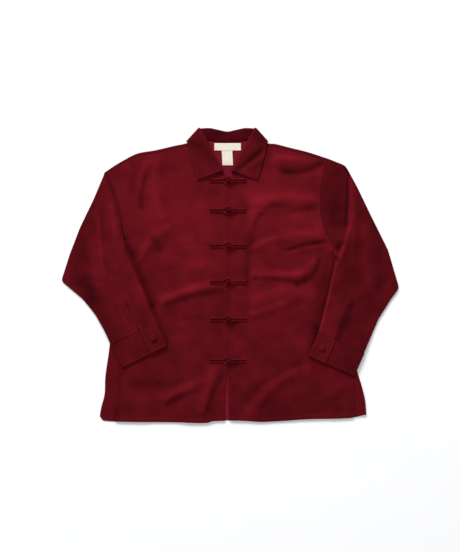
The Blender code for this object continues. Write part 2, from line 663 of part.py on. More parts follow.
EYE_RADIUS = KNOT_RADIUS + SEAM + CORD_RADIUS
LEG_SPREAD = CORD_RADIUS + SEAM


def loop_path(height):
    """Two cords side by side from the bar's end, opening into an eye round the knot."""
    start = [(KNOT_X - BAR_REACH, LEG_SPREAD), (KNOT_X - 34, LEG_SPREAD), (KNOT_X - 24, LEG_SPREAD),
             (KNOT_X - 15, LEG_SPREAD), (KNOT_X - EYE_RADIUS * 1.05, EYE_RADIUS * 0.52)]
    eye = [(KNOT_X + EYE_RADIUS * math.cos(a), EYE_RADIUS * math.sin(a)) for a in np.radians((120, 80, 40))]
    half = start + eye
    plan = half + [(KNOT_X + EYE_RADIUS * 1.02, 0.0)] + [(x, -y) for x, y in half[::-1]]
    return cord_on_front(plan, height, CORD_RADIUS)


def cord_on_front(plan, height, radius, climb=None):
    """Lifts a plan line on to the front panels. Climb adds height at each point."""
    points = []
    for n, (x, y) in enumerate(plan):
        near = ((0, 0), (radius, 0), (-radius, 0), (0, radius), (0, -radius))
        spread = max(front_top(x + dx, height + y + dy) for dx, dy in near)
        rise = climb[n] if climb else 0.0
        points.append((x, height + y, spread + 2 * SEAM + radius + rise))
    return points


def build_closure(number, height, cloth):
    """A knot closure: the loop side, the knot side and the ball knot."""
    tube(f"closure_{number}_loop", loop_path(height), CORD_RADIUS, cloth)
    over = 2 * CORD_RADIUS + SEAM + 0.2
    reach = [(BAR_REACH, 0), (34, 0), (25, 0), (19.5, 0.25 * over), (15.0, 0.9 * over),
             (EYE_RADIUS + 1, over)]
    half = [(KNOT_X + x, LEG_SPREAD) for x, _ in reach]
    rises = [rise for _, rise in reach]
    end_x = KNOT_X + KNOT_RADIUS + SEAM + CORD_RADIUS
    plan = half + [(end_x, 0.0)] + [(x, -y) for x, y in half[::-1]]
    path = cord_on_front(plan, height, CORD_RADIUS, rises + [over] + rises[::-1])
    tube(f"closure_{number}_bar", path, CORD_RADIUS, cloth)
    level = front_top(KNOT_X, height) + SEAM + KNOT_RADIUS
    ball(f"closure_{number}_knot", (KNOT_X, height, level), KNOT_RADIUS, cloth)


def from_roll(roll, other, run):
    """The end of the roll's turn on the way to another point, one roll radius off the roll line."""
    way = (other - roll) / np.linalg.norm(other - roll)
    return roll + way * ROLL_RADIUS / abs(way[0] * run[1] - way[1] * run[0])


def collar_section(row, run):
    """Points of one section through the collar: up the stand, round the roll and down the fall."""
    neck, roll, edge = (np.array(row[k:k + 2], float) for k in (0, 2, 4))
    neck_level, stand_level, fall_level, edge_level = row[6:]
    stand_end = from_roll(roll, neck, run)
    fall_start = from_roll(roll, edge, run)
    points = []
    for t in (0.0, 0.5, 1.0):
        points.append((*(neck + (stand_end - neck) * t), neck_level + (stand_level - neck_level) * t))
    for angle in RING_ARCS:
        foot = stand_end if angle < 2 else fall_start
        level = stand_level + (fall_level - stand_level) * (1 - math.cos(angle)) / 2
        points.append((*(foot + (roll - foot) * math.sin(angle)), level))
    for t in (0.0, 0.33, 0.67, 1.0):
        level = fall_level + (edge_level - fall_level) * smooth_step(t)
        points.append((*(fall_start + (edge - fall_start) * t), level))
    return np.array(points)


def collar_corner(over, under):
    """The section where the collar stands on edge as it turns round the shoulder, its roll a round
    corner in plan."""
    neck, roll, edge = (np.array(COLLAR_FRONT[-1][k:k + 2], float) for k in (0, 2, 4))
    up = (roll - neck) / np.linalg.norm(roll - neck)
    down = (edge - roll) / np.linalg.norm(edge - roll)
    half = (over[:, 2] - under[:, 2]) / 2
    start = (over[0, :2] + under[0, :2]) / 2 + np.array([up[1], -up[0]]) * half[0]
    end = (over[-1, :2] + under[-1, :2]) / 2 + np.array([-down[1], down[0]]) * half[-1]
    far, back = np.linalg.solve(np.stack([up, down], axis=1), end - start)
    corner = start + up * far
    turning = math.acos(float(np.dot(up, down)))
    tangent = ROLL_RADIUS * math.tan(turning / 2)
    centre = corner - up * tangent + np.array([up[1], -up[0]]) * ROLL_RADIUS
    first = math.atan2(up[0], -up[1])
    fillet = [centre + ROLL_RADIUS * np.array([math.cos(a), math.sin(a)])
              for a in np.linspace(first, first - turning, len(RING_ARCS) + 2)]
    stand = [start + (fillet[0] - start) * t for t in (0.0, 0.5)]
    fall = [fillet[-1] + (end - fillet[-1]) * t for t in (0.33, 0.67, 1.0)]
    return np.array(stand + fillet + fall)


def collar_mid():
    """The collar's middle surface, from one front end round the back of the neck to the other."""
    halves = []
    for table in (COLLAR_FRONT, COLLAR_BACK):
        run = np.gradient(np.array([row[2:4] for row in table], float), axis=0)
        run /= np.linalg.norm(run, axis=1, keepdims=True)
        halves.append([collar_section(*given) for given in zip(table, run)])
    front, back = halves
    over, under = front[-1], back[0]
    middle, half = (over + under) / 2, (over - under) / 2
    bulge = np.zeros(middle.shape)
    bulge[:, :2] = collar_corner(over, under) - middle[:, :2]
    shoulder = [middle + half * math.cos(a) + bulge * math.sin(a) for a in RING_ARCS]
    right = np.array(front + shoulder + back)
    left = right * (-1, 1, 1)
    return np.concatenate([left, right[-2::-1]])


def build_collar(cloth):
    """The collar's two plies, sewn together as one wall: stand, roll and fall."""
    wall("collar", collar_mid(), COLLAR_WALL / 2, cloth)


def build_label(name, centre_x, top_y, size, lean, cloth):
    """A flat label on the inside of the back."""
    u = np.linspace(-0.5, 0.5, 5) * size[0]
    v = np.linspace(0, size[1], 4)
    x = centre_x + u[None, :] + lean * v[:, None]
    y = top_y - v[:, None] + 0 * u[None, :]
    level = BACK_LEVEL + neck_lift(x, y) + VELVET / 2 + SEAM + LABEL_WALL / 2
    wall(name, np.stack([x, y, level], axis=-1), LABEL_WALL / 2, cloth)


def main():
    for old in list(bpy.data.objects):
        bpy.data.objects.remove(old, do_unlink=True)
    velvet = material("velvet", BURGUNDY, 0.75)
    knot_cloth = material("knot_cloth", BURGUNDY_KNOT, 0.6)
    label_cloth = material("label_cloth", LABEL_WHITE, 0.7)
    build_back(velvet)
    for side in (-1, 1):
        build_front(side, velvet)
        build_sleeve(side, velvet)
        build_cuff(side, velvet)
    build_collar(velvet)
    for number, height in enumerate(KNOT_HEIGHTS, start=1):
        build_closure(number, height, knot_cloth)
    build_label("neck_label", 0.8, 680.5, LABEL_SIZE, 0.0, label_cloth)
    build_label("size_label", -0.6, 680.5 - LABEL_SIZE[1] - SEAM, SIZE_LABEL, 0.05, label_cloth)


main()
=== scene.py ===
"""The looks of a burgundy velvet shirt that lies flat on its back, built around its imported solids.

Tables are in millimetres in the garment's own measure: x runs from the centre front to the wearer's
left, y up from the hem at the centre front, and z up from the surface that the shirt lies on.
"""

import math

import bpy
import numpy as np
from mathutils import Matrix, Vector


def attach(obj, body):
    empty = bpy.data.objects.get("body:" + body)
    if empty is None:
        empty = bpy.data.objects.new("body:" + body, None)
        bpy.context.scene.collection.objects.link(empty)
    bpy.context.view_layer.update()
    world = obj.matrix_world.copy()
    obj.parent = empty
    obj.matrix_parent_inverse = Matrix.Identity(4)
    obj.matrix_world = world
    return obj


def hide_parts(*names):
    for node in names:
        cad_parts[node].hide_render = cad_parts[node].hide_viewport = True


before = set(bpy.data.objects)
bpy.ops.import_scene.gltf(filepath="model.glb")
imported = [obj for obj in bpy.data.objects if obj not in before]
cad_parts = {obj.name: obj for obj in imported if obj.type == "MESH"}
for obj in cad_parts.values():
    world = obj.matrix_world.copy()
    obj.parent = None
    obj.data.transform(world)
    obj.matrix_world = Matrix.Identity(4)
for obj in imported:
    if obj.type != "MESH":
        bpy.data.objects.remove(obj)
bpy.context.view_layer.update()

# Driving sizes, in millimetres
VELVET = 1.2
SHELL = 1.1
COLLAR_SHELL = 1.8
CUFF_WALL = 1.8
LABEL_SHELL = 0.7
SEAM = 0.3
FOLD_RADIUS = 1.2
ROLL_RADIUS = 1.7
SHOULDER_WRAP = 8.0
HEM_TURN = 9.0
HEM_PLY = 0.45
CUFF_WIDTH = 124.0
CUFF_DEPTH = 62.0
CUFF_TAB = 46.0
CUFF_UNDERLAP = 22.0
SLEEVE_SLIT = 100.0
PLACKET_REACH = 9.0
PLACKET_SHELL = 0.7
KNOT_HEIGHTS = (589.0, 516.0, 429.0, 340.5, 249.0, 147.5)
KNOT_X = 1.5
KNOT_RADIUS = 6.2
CORD_RADIUS = 2.4
CORD_PRESSED = 0.64  # height of the sewn cord as a share of its width
BAR_REACH = 45.0
BUTTON_RADIUS = 8.0
BUTTON_HEIGHT = 4.6
BUTTON_ACROSS = 23.0
LABEL_SIZE = (65.0, 18.0)
SIZE_LABEL = (26.0, 36.0)
LABEL_TOP = 680.5
LABEL_SWAY = 0.15
LABEL_GAP = 0.5
FRAME_SHIFT = (-7.03, -356.9)

# Levels of the layers, in millimetres above the surface
BACK_LEVEL = VELVET / 2
FRONT_LEVEL = BACK_LEVEL + 2 * FOLD_RADIUS
FRONT_TOP = FRONT_LEVEL + VELVET / 2
LOWEST_FRONT = 2 * VELVET - 0.4
NECK_LIFT = 2.5
SLEEVE_CLEAR = 0.5

# Outlines: columns are x, y
SIDES = {
    -1: ((-313, 10), (-309, 34), (-301, 66), (-299, 110), (-290, 174), (-278, 284), (-266, 382),
         (-254, 442.6)),
    1: ((341, 15), (338, 51), (329, 88), (318, 125), (306, 186), (291, 272), (276, 345), (262, 410.5)),
}
ARMHOLES = {
    -1: ((-253, 446), (-259, 472), (-261, 494), (-268.5, 532), (-280, 563.5), (-293, 594), (-300, 610)),
    1: ((261, 414), (254, 436), (239, 468), (230, 500), (228, 541), (232, 590), (247, 643)),
}
SHOULDERS = {
    -1: ((-300, 610), (-273, 628), (-253, 639.5), (-233, 650.5), (-214, 657.5), (-175, 664), (-136, 673),
         (-101, 680), (-67, 690.5)),
    1: ((247, 643), (198, 659), (158, 669), (119, 678.5), (101, 680), (67, 690.5)),
}
HEM = ((-313, 10), (-302, 0), (-243, -2.5), (-126, -3.4), (-55, -4.5), (-35, 0), (0, 1), (43, 0), (85, -2.5),
       (139, 0), (198, 4), (296, 6.6), (341, 15))
BACK_NECK = ((-67, 690.5), (-42, 685), (0, 681.5), (42, 685), (67, 690.5))
FRONT_NECK = ((67, 690.5), (60, 662), (50, 629), (28, 606), (0.5, 599))
SLIT_EDGES = {
    -1: ((-6.4, -1), (-6.2, 40), (-3.5, 90), (-0.15, 125)),
    1: ((4.2, 0), (4.0, 40), (2.2, 90), (0.15, 125)),
}

# The back panel turns over the side fold: columns are height, width of the strip that shows in front
SIDE_STRIPS = {
    -1: ((0, 36), (110, 34), (250, 12), (430, 4)),
    1: ((15, 30), (125, 10), (250, 5), (390, 4)),
}

# Sleeves: columns are outer x, outer y, inner x, inner y, from the armhole to the cuff
SLEEVES = {
    -1: ((-329, 541, -248.5, 417), (-361, 475, -238, 391), (-386, 410, -226, 362.5), (-407.5, 343, -214, 338),
         (-356, 300, -199, 306), (-324, 261, -189.5, 281.5), (-302, 223, -181, 259)),
    1: ((290, 626, 264, 389), (318, 575, 261, 372), (354, 500, 254, 345),
        (394, 420, 249, 318), (421.5, 326, 241.5, 291), (402, 299, 237, 272), (371, 250, 230, 243)),
}
CUFF_CORNERS = {-1: ((-285, 186), (-173.5, 241)), 1: ((335, 167), (223, 217))}

# Largest folds, as in the solids: columns are start, middle and end of the spine, half width, height
FOLDS = (
    ((95, 640), (150, 652), (225, 640), 13, 3.6),
    ((68, 530), (120, 555), (222, 538), 15, 4.2),
    ((60, 470), (66, 518), (120, 536), 14, 2.8),
    ((70, 425), (120, 462), (225, 452), 13, 4.4),
    ((66, 360), (70, 345), (180, 358), 12, 3.8),
    ((180, 358), (212, 372), (238, 425), 12, 3.8),
    ((75, 290), (140, 330), (205, 300), 18, 3.4),
    ((-205, 560), (-215, 600), (-190, 645), 12, 3.0),
    ((-160, 500), (-185, 560), (-175, 640), 13, 3.2),
    ((-12, 335), (-80, 330), (-165, 285), 14, 4.0),
    ((-225, 380), (-205, 440), (-150, 470), 14, 3.6),
    ((-150, 400), (-110, 370), (-60, 380), 15, 2.6),
    ((-32, 126), (-42, 90), (-62, 20), 13, 3.8),
    ((-60, 95), (-110, 82), (-150, 55), 13, 3.0),
    ((60, 20), (95, 90), (190, 120), 15, 3.6),
    ((215, 40), (260, 75), (300, 90), 15, 2.6),
)
SLEEVE_FOLDS = (
    ((-345, 470), (-320, 400), (-318, 330), 12, 2.4),
    ((-285, 520), (-272, 460), (-255, 400), 11, 2.2),
    ((300, 610), (302, 540), (304, 500), 11, 3.4),
    ((345, 470), (340, 400), (350, 320), 14, 2.4),
    ((290, 460), (285, 400), (272, 340), 11, 2.0),
)

# Main creases beside the large folds: the same columns, with a negative height for a trough
CREASES = (
    ((135, 615), (190, 604), (234, 634), 9, -2.0),
    ((224, 525), (180, 508), (113, 526), 9, -1.8),
    ((113, 526), (70, 505), (52, 440), 9, -1.9),
    ((52, 440), (49, 390), (48, 335), 8, -1.4),
    ((68, 436), (105, 462), (167, 450), 7, -1.6),
    ((148, 419), (190, 432), (240, 438), 5, -2.4),
    ((150, 410), (190, 422), (236, 428), 5, 1.0),
    ((70, 346), (120, 352), (172, 334), 7, -1.7),
    ((172, 334), (215, 340), (228, 392), 7, -1.9),
    ((65, 262), (130, 280), (172, 308), 10, 1.6),
    ((60, 246), (130, 262), (190, 290), 10, -1.3),
    ((-201, 595), (-210, 560), (-211, 525), 7, -2.2),
    ((-180, 639), (-178, 625), (-175, 610), 5, -1.4),
    ((-216, 639), (-216, 625), (-214, 610), 5, -1.4),
    ((-182, 446), (-174, 436), (-168, 422), 9, -1.8),
    ((-221, 387), (-205, 405), (-190, 428), 7, 1.5),
    ((-13, 316), (-75, 312), (-150, 284), 8, -1.6),
    ((-46, 249), (-80, 252), (-120, 244), 5, -1.0),
    ((-8, 118), (-34, 75), (-47, 24), 7, -2.0),
    ((-79, 68), (-115, 60), (-146, 40), 7, -1.6),
    ((-231, 84), (-180, 92), (-126, 93), 12, -1.0),
    ((45, 40), (85, 108), (178, 138), 9, -1.6),
    ((-236, 450), (-205, 375), (-178, 290), 11, -1.8),
    ((46, 520), (70, 524), (100, 516), 5, -0.8),
    ((-44, 430), (-80, 436), (-120, 424), 6, -0.8),
    ((46, 341), (30, 339), (14, 341), 4, -0.5),
    ((-45, 589), (-80, 560), (-90, 520), 10, -0.9),
    ((30, 575), (34, 540), (44, 520), 9, -0.8),
    ((240, 150), (210, 180), (160, 190), 14, 1.2),
    ((-240, 160), (-190, 190), (-120, 196), 14, 1.2),
)
SLEEVE_CREASES = (
    ((-320, 515), (-316, 430), (-302, 350), 5, 1.3),
    ((-278, 535), (-279, 490), (-278, 455), 4, 1.0),
    ((-306, 512), (-302, 430), (-290, 352), 7, -1.0),
    ((-262, 440), (-240, 400), (-232, 350), 8, -1.0),
    ((-360, 380), (-320, 350), (-270, 345), 9, 0.9),
    ((-372, 330), (-330, 318), (-290, 322), 7, -0.9),
    ((296, 618), (296, 550), (291, 482), 4, -2.2),
    ((304, 500), (302, 470), (272, 384), 8, 1.8),
    ((295, 492), (284, 430), (263, 380), 4, -1.2),
    ((268, 440), (273, 430), (277, 417), 4, -2.4),
    ((257, 413), (268, 408), (279, 408), 4, 1.8),
    ((330, 560), (345, 500), (372, 440), 8, 1.0),
    ((395, 400), (372, 350), (330, 330), 9, 0.9),
    ((400, 360), (372, 318), (330, 300), 6, -1.0),
    ((318, 480), (316, 400), (326, 330), 7, -1.0),
)

# Creases that lift the back off the surface, out of sight below: the same columns as the folds
BACK_CREASES = (
    ((-190, 610), (-120, 540), (-20, 520), 15, 0.8),
    ((60, 545), (130, 525), (205, 580), 14, 0.9),
    ((-225, 470), (-150, 400), (-60, 385), 16, 0.9),
    ((10, 440), (90, 420), (200, 455), 15, 0.9),
    ((-240, 330), (-190, 250), (-100, 215), 16, 0.8),
    ((-30, 330), (70, 270), (110, 180), 15, 0.9),
    ((150, 330), (215, 270), (235, 190), 14, 0.8),
    ((-215, 165), (-140, 120), (-110, 50), 14, 0.8),
    ((90, 110), (170, 90), (265, 120), 14, 0.8),
    ((-60, 130), (-20, 90), (20, 70), 13, 0.7),
)

# Painted light and shade as paler and darker strokes: highlights along ridges, shade in creases and seams,
# shadows beside the sleeves and cuffs, and broad paler and darker patches. The same columns, the last one
# from dark -1 to pale 1
FRONT_PAINTED_SHADING = (
    ((-215, 620), (-160, 590), (-110, 640), 38, -0.22),
    ((80, 40), (180, 60), (300, 70), 45, -0.2),
    ((-292, 598), (-265, 538), (-257, 452), 4.5, -0.7),
    ((-184, 284), (-168, 240), (-146, 192), 5, -0.6),
    ((261, 390), (243, 303), (219, 217), 5, -0.75),
    ((220, 220), (211, 190), (202, 164), 4, -0.6),
    ((252, 414), (260, 400), (268, 393), 3.5, -0.9),
    ((254, 436), (251, 418), (258, 408), 3, 0.45),
    ((-150, 560), (-95, 500), (-60, 430), 55, 0.25),
    ((-182, 446), (-174, 436), (-166, 424), 10, -0.4),
    ((-251, 446), (-216, 370), (-186, 284), 9, -0.9),
    ((-274, 120), (-276, 70), (-278, 20), 16, -0.5),
    ((-231, 86), (-178, 92), (-126, 93), 12, -0.3),
    ((85, 640), (150, 646), (212, 640), 10, 0.25),
    ((138, 613), (190, 604), (232, 634), 9, -0.85),
    ((60, 560), (130, 490), (220, 480), 35, 0.38),
    ((151, 421), (190, 434), (240, 438), 5, -0.7),
    ((224, 525), (170, 511), (80, 507), 8, -0.35),
    ((80, 507), (50, 440), (48, 335), 8, -0.35),
    ((70, 350), (120, 352), (170, 337), 7, -0.4),
    ((170, 337), (215, 345), (226, 392), 7, -0.4),
    ((73, 404), (72, 362), (180, 359), 8, 0.3),
    ((245, 395), (232, 300), (205, 190), 10, -0.45),
    ((-13, 336), (-90, 332), (-165, 296), 9, 0.3),
    ((-13, 316), (-75, 312), (-152, 284), 8, -0.4),
    ((65, 262), (142, 282), (171, 306), 10, 0.25),
    ((-8, 118), (-34, 75), (-47, 24), 7, -0.4),
    ((-20, 140), (-46, 105), (-60, 40), 8, 0.2),
    ((-86, 86), (-133, 72), (-147, 56), 8, 0.25),
    ((-79, 68), (-120, 58), (-145, 42), 6, -0.3),
    ((178, 118), (112, 86), (80, 32), 9, -0.35),
    ((-201, 595), (-210, 560), (-211, 525), 8, -0.5),
    ((-235, 640), (-225, 600), (-232, 560), 9, -0.3),
    ((97, 680), (100, 655), (98, 630), 8, -0.35),
)
# Painted light and shade on the sleeves: highlights along the inner edges, ridges and placket, shade in
# creases, by the armhole seam and beside the slits, and broad darker and paler patches
SLEEVE_PAINTED_SHADING = (
    ((-296, 600), (-270, 540), (-262, 455), 4, -0.6),
    ((-259, 305), (-236, 262), (-209, 222), 3, 0.5),
    ((-268, 294), (-256, 258), (-240, 228), 3, 0.4),
    ((-250, 290), (-244, 278), (-237, 266), 3, -0.8),
    ((296, 618), (296, 550), (290, 480), 3.4, -0.9),
    ((303, 485), (287, 430), (268, 388), 4, 0.6),
    ((286, 438), (277, 431), (268, 425), 5, -0.9),
    ((258, 424), (262, 410), (276, 404), 3, 0.5),
    ((262, 400), (268, 396), (272, 393), 3.5, -0.8),
    ((-350, 480), (-385, 400), (-330, 300), 28, -0.45),
    ((-270, 520), (-245, 420), (-215, 330), 22, 0.35),
    ((-319, 512), (-312, 430), (-302, 360), 4, 0.35),
    ((-330, 290), (-290, 240), (-270, 200), 25, -0.35),
    ((250, 600), (262, 540), (278, 480), 20, -0.25),
    ((244, 640), (270, 605), (283, 560), 16, -0.15),
    ((303, 600), (310, 540), (305, 450), 10, 0.55),
    ((266, 392), (249, 303), (226, 219), 4, 0.8),
    ((362, 492), (380, 400), (374, 330), 12, -0.3),
    ((270, 288), (255, 250), (240, 212), 20, 0.45),
    ((306, 288), (284, 238), (271, 200), 6, -0.7),
)
# Painted light and shade on the collar: a dark crease line across the wearer's left leaf with a paler band
# below it, and darker patches by the roll and the shoulder
COLLAR_PAINTED_SHADING = (
    ((-90, 680), (-60, 665), (-35, 640), 16, -0.45),
    ((82, 662), (56, 640), (26, 616), 6, -0.9),
    ((88, 648), (62, 628), (36, 612), 6, 0.4),
    ((95, 676), (80, 690), (70, 700), 12, -0.3),
)
COLLAR_CREASES = (
    ((82, 662), (56, 640), (26, 616), 6, -1.3),
    ((84, 640), (64, 628), (40, 618), 7, 0.8),
    ((-84, 634), (-62, 628), (-40, 620), 9, 0.5),
)

# Seam allowance turned in under the next piece: columns are how far past the seam, how far down
TUCKS = ((0.35, 0.3), (0.65, 0.95), (3.1, 1.15))
TUCK_START = 0.5

# Collar, one half from the front end to the centre back: columns are the neck seam's x and y, the roll's x
# and y, the outer edge's x and y, then the levels of the seam, the stand and the fall at the roll, and the
# outer edge. The first rows lie over the front, and the others are folded round the shoulder to the back.
COLLAR_FRONT = (
    (13, 603.5, 9.5, 613, 75, 588.5, 5.0, 5.4, 8.8, 5.6),
    (29, 610, 19, 629, 80, 606, 5.0, 5.4, 8.8, 5.7),
    (47.5, 631, 31, 648, 86.5, 628, 5.4, 5.8, 9.2, 6.5),
    (55.5, 656, 41.5, 668, 92, 650, 6.2, 6.6, 10.0, 7.9),
    (55, 677, 50, 687, 96.5, 668, 6.8, 7.1, 10.5, 8.6),
    (59, 685.5, 57.5, 700, 97.5, 675, 7.0, 7.4, 10.8, 8.8),
    (63, 693, 66.5, 716, 98, 681.5, 7.2, 7.6, 11.0, 8.9),
)
COLLAR_BACK = (
    (62, 694, 65.5, 716, 97, 681, 3.7, 4.4, 1.1, 1.1),
    (38, 687.2, 43, 717, 66, 660, 3.7, 4.4, 1.1, 1.1),
    (18, 683.8, 21, 712.5, 32, 656, 3.7, 4.4, 1.1, 1.1),
    (0, 682.8, 0, 708.6, 0, 655, 3.7, 4.4, 1.1, 1.1),
)

# Sewing, in millimetres: a row's stitches have a pitch, a length and a width
STITCH = (3.4, 2.5, 0.5)
LABEL_STITCH = (1.8, 1.2, 0.3)
THREAD_LIFT = 0.075  # how far a stitch's middle stands above the pile
EDGE_STITCH = 6.0
DRAWN_IN = 0.28  # how deep a cuff is drawn in along its stitched line
DRAWN_WIDTH = 1.4
SLIT_STITCHES = (-2.6, 3.2)  # columns of the sleeve's grid on both sides of the slit
LABEL_THREAD_LIFT = 0.05
CUFF_THREAD_LIFT = 0.25

# How far from an edge, and from the front opening, the relief takes to reach its full height, in millimetres
FOLD_RISE = 26.0
CREASE_RISE = 12.0
OPENING_RISE = 40.0

# Painted light on the crests of folds and painted shade in their troughs: the height that would give the
# palest tone, and the limit of the tone
CREST_HEIGHT = 9.0
CREST_SHADING_LIMIT = 0.3

# Height of the unevenness all over each cloth, in millimetres
FRONT_RIPPLE = 1.3
BACK_RIPPLE = 0.4
SLEEVE_RIPPLE = 1.1
CUFF_RIPPLE = 0.35
COLLAR_RIPPLE = 1.2

# Tone of each piece, from dark -1 to pale 1: painted shade on the sleeves and cuffs, most on the wearer's
# left; the tab paler than its band as painted light; the stand and the fall darker; the cords a little paler;
# painted shade in the groove between the cords and on the ball knot
SLEEVE_SHADE_TONES = {-1: -0.1, 1: -0.4}
CUFF_SHADE_TONES = {-1: -0.25, 1: -0.45}
TAB_PAINTED_LIGHT = -0.1
STAND_TONE = -0.75
FALL_TONE = -0.15
CORD_TONE = 0.1
GROOVE_PAINTED_SHADE = -1.1
KNOT_PAINTED_SHADE = -0.45

# Sizes of the materials' patterns, in millimetres. Pile, twist and ribs are really about 0.3 mm, too fine
# to show, and are drawn as coarse as they need to be.
BRUSHED_PATCH = 45.45
PILE_CLUMP = 1.111
TAPE_RIB = 0.8267
TAPE_STAIN = 11.11
THREAD_TWIST = 0.6667
CARD_MOTTLE = 166.7

# Colours. The velvet's pale and deep colours serve both its random brushed patches and its painted light and
# shade; the tubing's deep colour is its painted shade
VELVET_LIT = "#76151F"
VELVET_MID = "#5A0D15"
VELVET_DEEP = "#38050A"
VELVET_INSIDE = "#6C1424"
KNOT_SHADE = "#2E0509"
THREAD_RED = "#6C1019"
LABEL_CREAM = "#EDE6D6"
LABEL_SHADE = "#D8CFBA"
BACK_LIT = "#570C14"
FLOOR_WHITE = "#FEFEFE"
FLOOR_SHADE = "#FBFBFB"
ROOM_WHITE = "#F4F6FA"


def smooth_step(value):
    """0 below 0, 1 above 1, and a soft S between."""
    t = np.clip(value, 0.0, 1.0)
    return t * t * (3 - 2 * t)


def ramp(value, start, width):
    """0 up to the start, then a soft rise to 1 over this width."""
    return smooth_step((value - start) / width)


def spline(points, per_span=12):
    """A smooth line through the points, as many short steps."""
    p = np.array(points, float)
    padded = np.vstack([2 * p[0] - p[1], p, 2 * p[-1] - p[-2]])
    t = np.linspace(0, 1, per_span, endpoint=False)[:, None]
    spans = []
    for a, b, c, d in zip(padded, padded[1:], padded[2:], padded[3:]):
        m1 = (c - a) / 2
        m2 = (d - b) / 2
        spans.append((2 * t**3 - 3 * t**2 + 1) * b + (t**3 - 2 * t**2 + t) * m1
                     + (-2 * t**3 + 3 * t**2) * c + (t**3 - t**2) * m2)
    return np.vstack(spans + [p[-1:]])


def along(line, fractions):
    """Points at these fractions of the line's length."""
    line = np.asarray(line, float)
    steps = np.linalg.norm(np.diff(line, axis=0), axis=1)
    lengths = np.concatenate([[0], np.cumsum(steps)])
    wanted = np.asarray(fractions) * lengths[-1]
    return np.stack([np.interp(wanted, lengths, line[:, k]) for k in range(line.shape[1])], axis=-1)


def length_of(line):
    return float(np.linalg.norm(np.diff(line, axis=0), axis=1).sum())


def distance_to(line, x, y):
    """Distance in plan from each point to a line of short steps."""
    x = np.asarray(x, float)
    y = np.asarray(y, float)
    best = np.full(x.shape, 1e9)
    for (ax, ay), (bx, by) in zip(line[:-1, :2], line[1:, :2]):
        dx, dy = bx - ax, by - ay
        t = np.clip(((x - ax) * dx + (y - ay) * dy) / (dx * dx + dy * dy + 1e-12), 0, 1)
        best = np.minimum(best, np.hypot(x - ax - t * dx, y - ay - t * dy))
    return best


# The wearer's sides: -1 is on the left of the picture
WORDS = {-1: "right", 1: "left"}
SIDE_LINES, ARMHOLE_LINES, SHOULDER_LINES = ({s: spline(table[s]) for s in WORDS}
                                             for table in (SIDES, ARMHOLES, SHOULDERS))
HEM_LINE = spline(HEM)
FALL_EDGE = np.array([row[4:6] for row in COLLAR_BACK[::-1]])


def hem_at(x):
    """Height of the hem's edge."""
    return np.interp(x, HEM_LINE[:, 0], HEM_LINE[:, 1])


def side_at(side, y):
    """How far out the body's side fold is at a height."""
    return np.interp(y, SIDE_LINES[side][:, 1], SIDE_LINES[side][:, 0])


def bump(away, half_width):
    """1 at a line, fading to 0 on both sides of it."""
    return np.exp(-((away / half_width) ** 2))


def fold_height(x, y, folds):
    """The sum of the soft ridges and troughs in a table. Each one thins out towards its ends."""
    total = np.zeros(np.shape(x))
    t = np.linspace(0, 1, 14)[:, None]
    for start, middle, end, half_width, height in folds:
        spine = (1 - t) ** 2 * np.array(start) + 2 * t * (1 - t) * np.array(middle) + t**2 * np.array(end)
        total = total + height * bump(distance_to(spine, x, y), half_width)
    return total


RIPPLES = np.random.default_rng(7).uniform(0, 2 * math.pi, (9, 2))
RIPPLE_LENGTHS = np.geomspace(34, 150, 9)


def ripple(x, y):
    """A faint unevenness all over the cloth, from waves that run every way."""
    total = np.zeros(np.shape(x))
    for (heading, start), wave in zip(RIPPLES, RIPPLE_LENGTHS):
        total += np.sin((x * math.cos(heading) + y * math.sin(heading)) * 2 * math.pi / wave + start) * wave
    return total / RIPPLE_LENGTHS.sum()


def neck_lift(x, y):
    """How far the panels ride up on the fall of the collar that lies under them."""
    x = np.abs(x)
    inside = (x < FALL_EDGE[-1, 0]) & (y > np.interp(x, FALL_EDGE[:, 0], FALL_EDGE[:, 1]))
    away = np.where(inside, 0.0, distance_to(FALL_EDGE, x, y))
    return NECK_LIFT * (1 - ramp(away, 12, 40))


def sleeve_away(x, y):
    """Distance from the sleeves' cover, 0 below them."""
    best = np.full(np.shape(x), 1e9)
    for s in (-1, 1):
        inner = spline([ARMHOLES[s][0]] + [(ix, iy) for _, _, ix, iy in SLEEVES[s]] + [CUFF_CORNERS[s][1]])
        edge_x = np.interp(y, inner[::-1, 1], inner[::-1, 0])
        reach = s * (edge_x - x)
        top, bottom = inner[0, 1], inner[-1, 1]
        outside = np.maximum(np.maximum(y - top, bottom - y), 0)
        best = np.minimum(best, np.hypot(np.maximum(reach, 0), outside))
    return best


def outline_away(x, y, *gaps):
    """Distance from the body's outline, less the gap that stays flat by side, armhole and shoulder."""
    tables = (SIDE_LINES, ARMHOLE_LINES, SHOULDER_LINES)
    return np.min([distance_to(table[s], x, y) - gap for s in WORDS for table, gap in zip(tables, gaps)],
                  axis=0)


def below_collar(x, y, height, depth, half_width, spread):
    """1 on the body, fading to 0 where the collar and the neck are."""
    return 1 - ramp(y, height, depth) * (1 - ramp(np.abs(x), half_width, spread))


def front_relief(x, y):
    """How far folds and creases lift the fronts from flat."""
    x = np.asarray(x, float)
    y = np.asarray(y, float)
    edges = outline_away(x, y, 30, 0, 9)
    sleeve = sleeve_away(x, y)
    below_neck = below_collar(x, y, 600, 50, 105, 20)
    calm = ramp(edges, 0, FOLD_RISE) * ramp(np.abs(x), 0, OPENING_RISE) * ramp(y, -6, 30) * below_neck
    fine_calm = ramp(edges, 0, CREASE_RISE) * ramp(np.abs(x), 3, CREASE_RISE) * below_neck
    fine = fold_height(x, y, CREASES) + FRONT_RIPPLE * ripple(x, y)
    return calm * ramp(sleeve, 20, 20) * fold_height(x, y, FOLDS) + fine_calm * ramp(sleeve, 2, 14) * fine


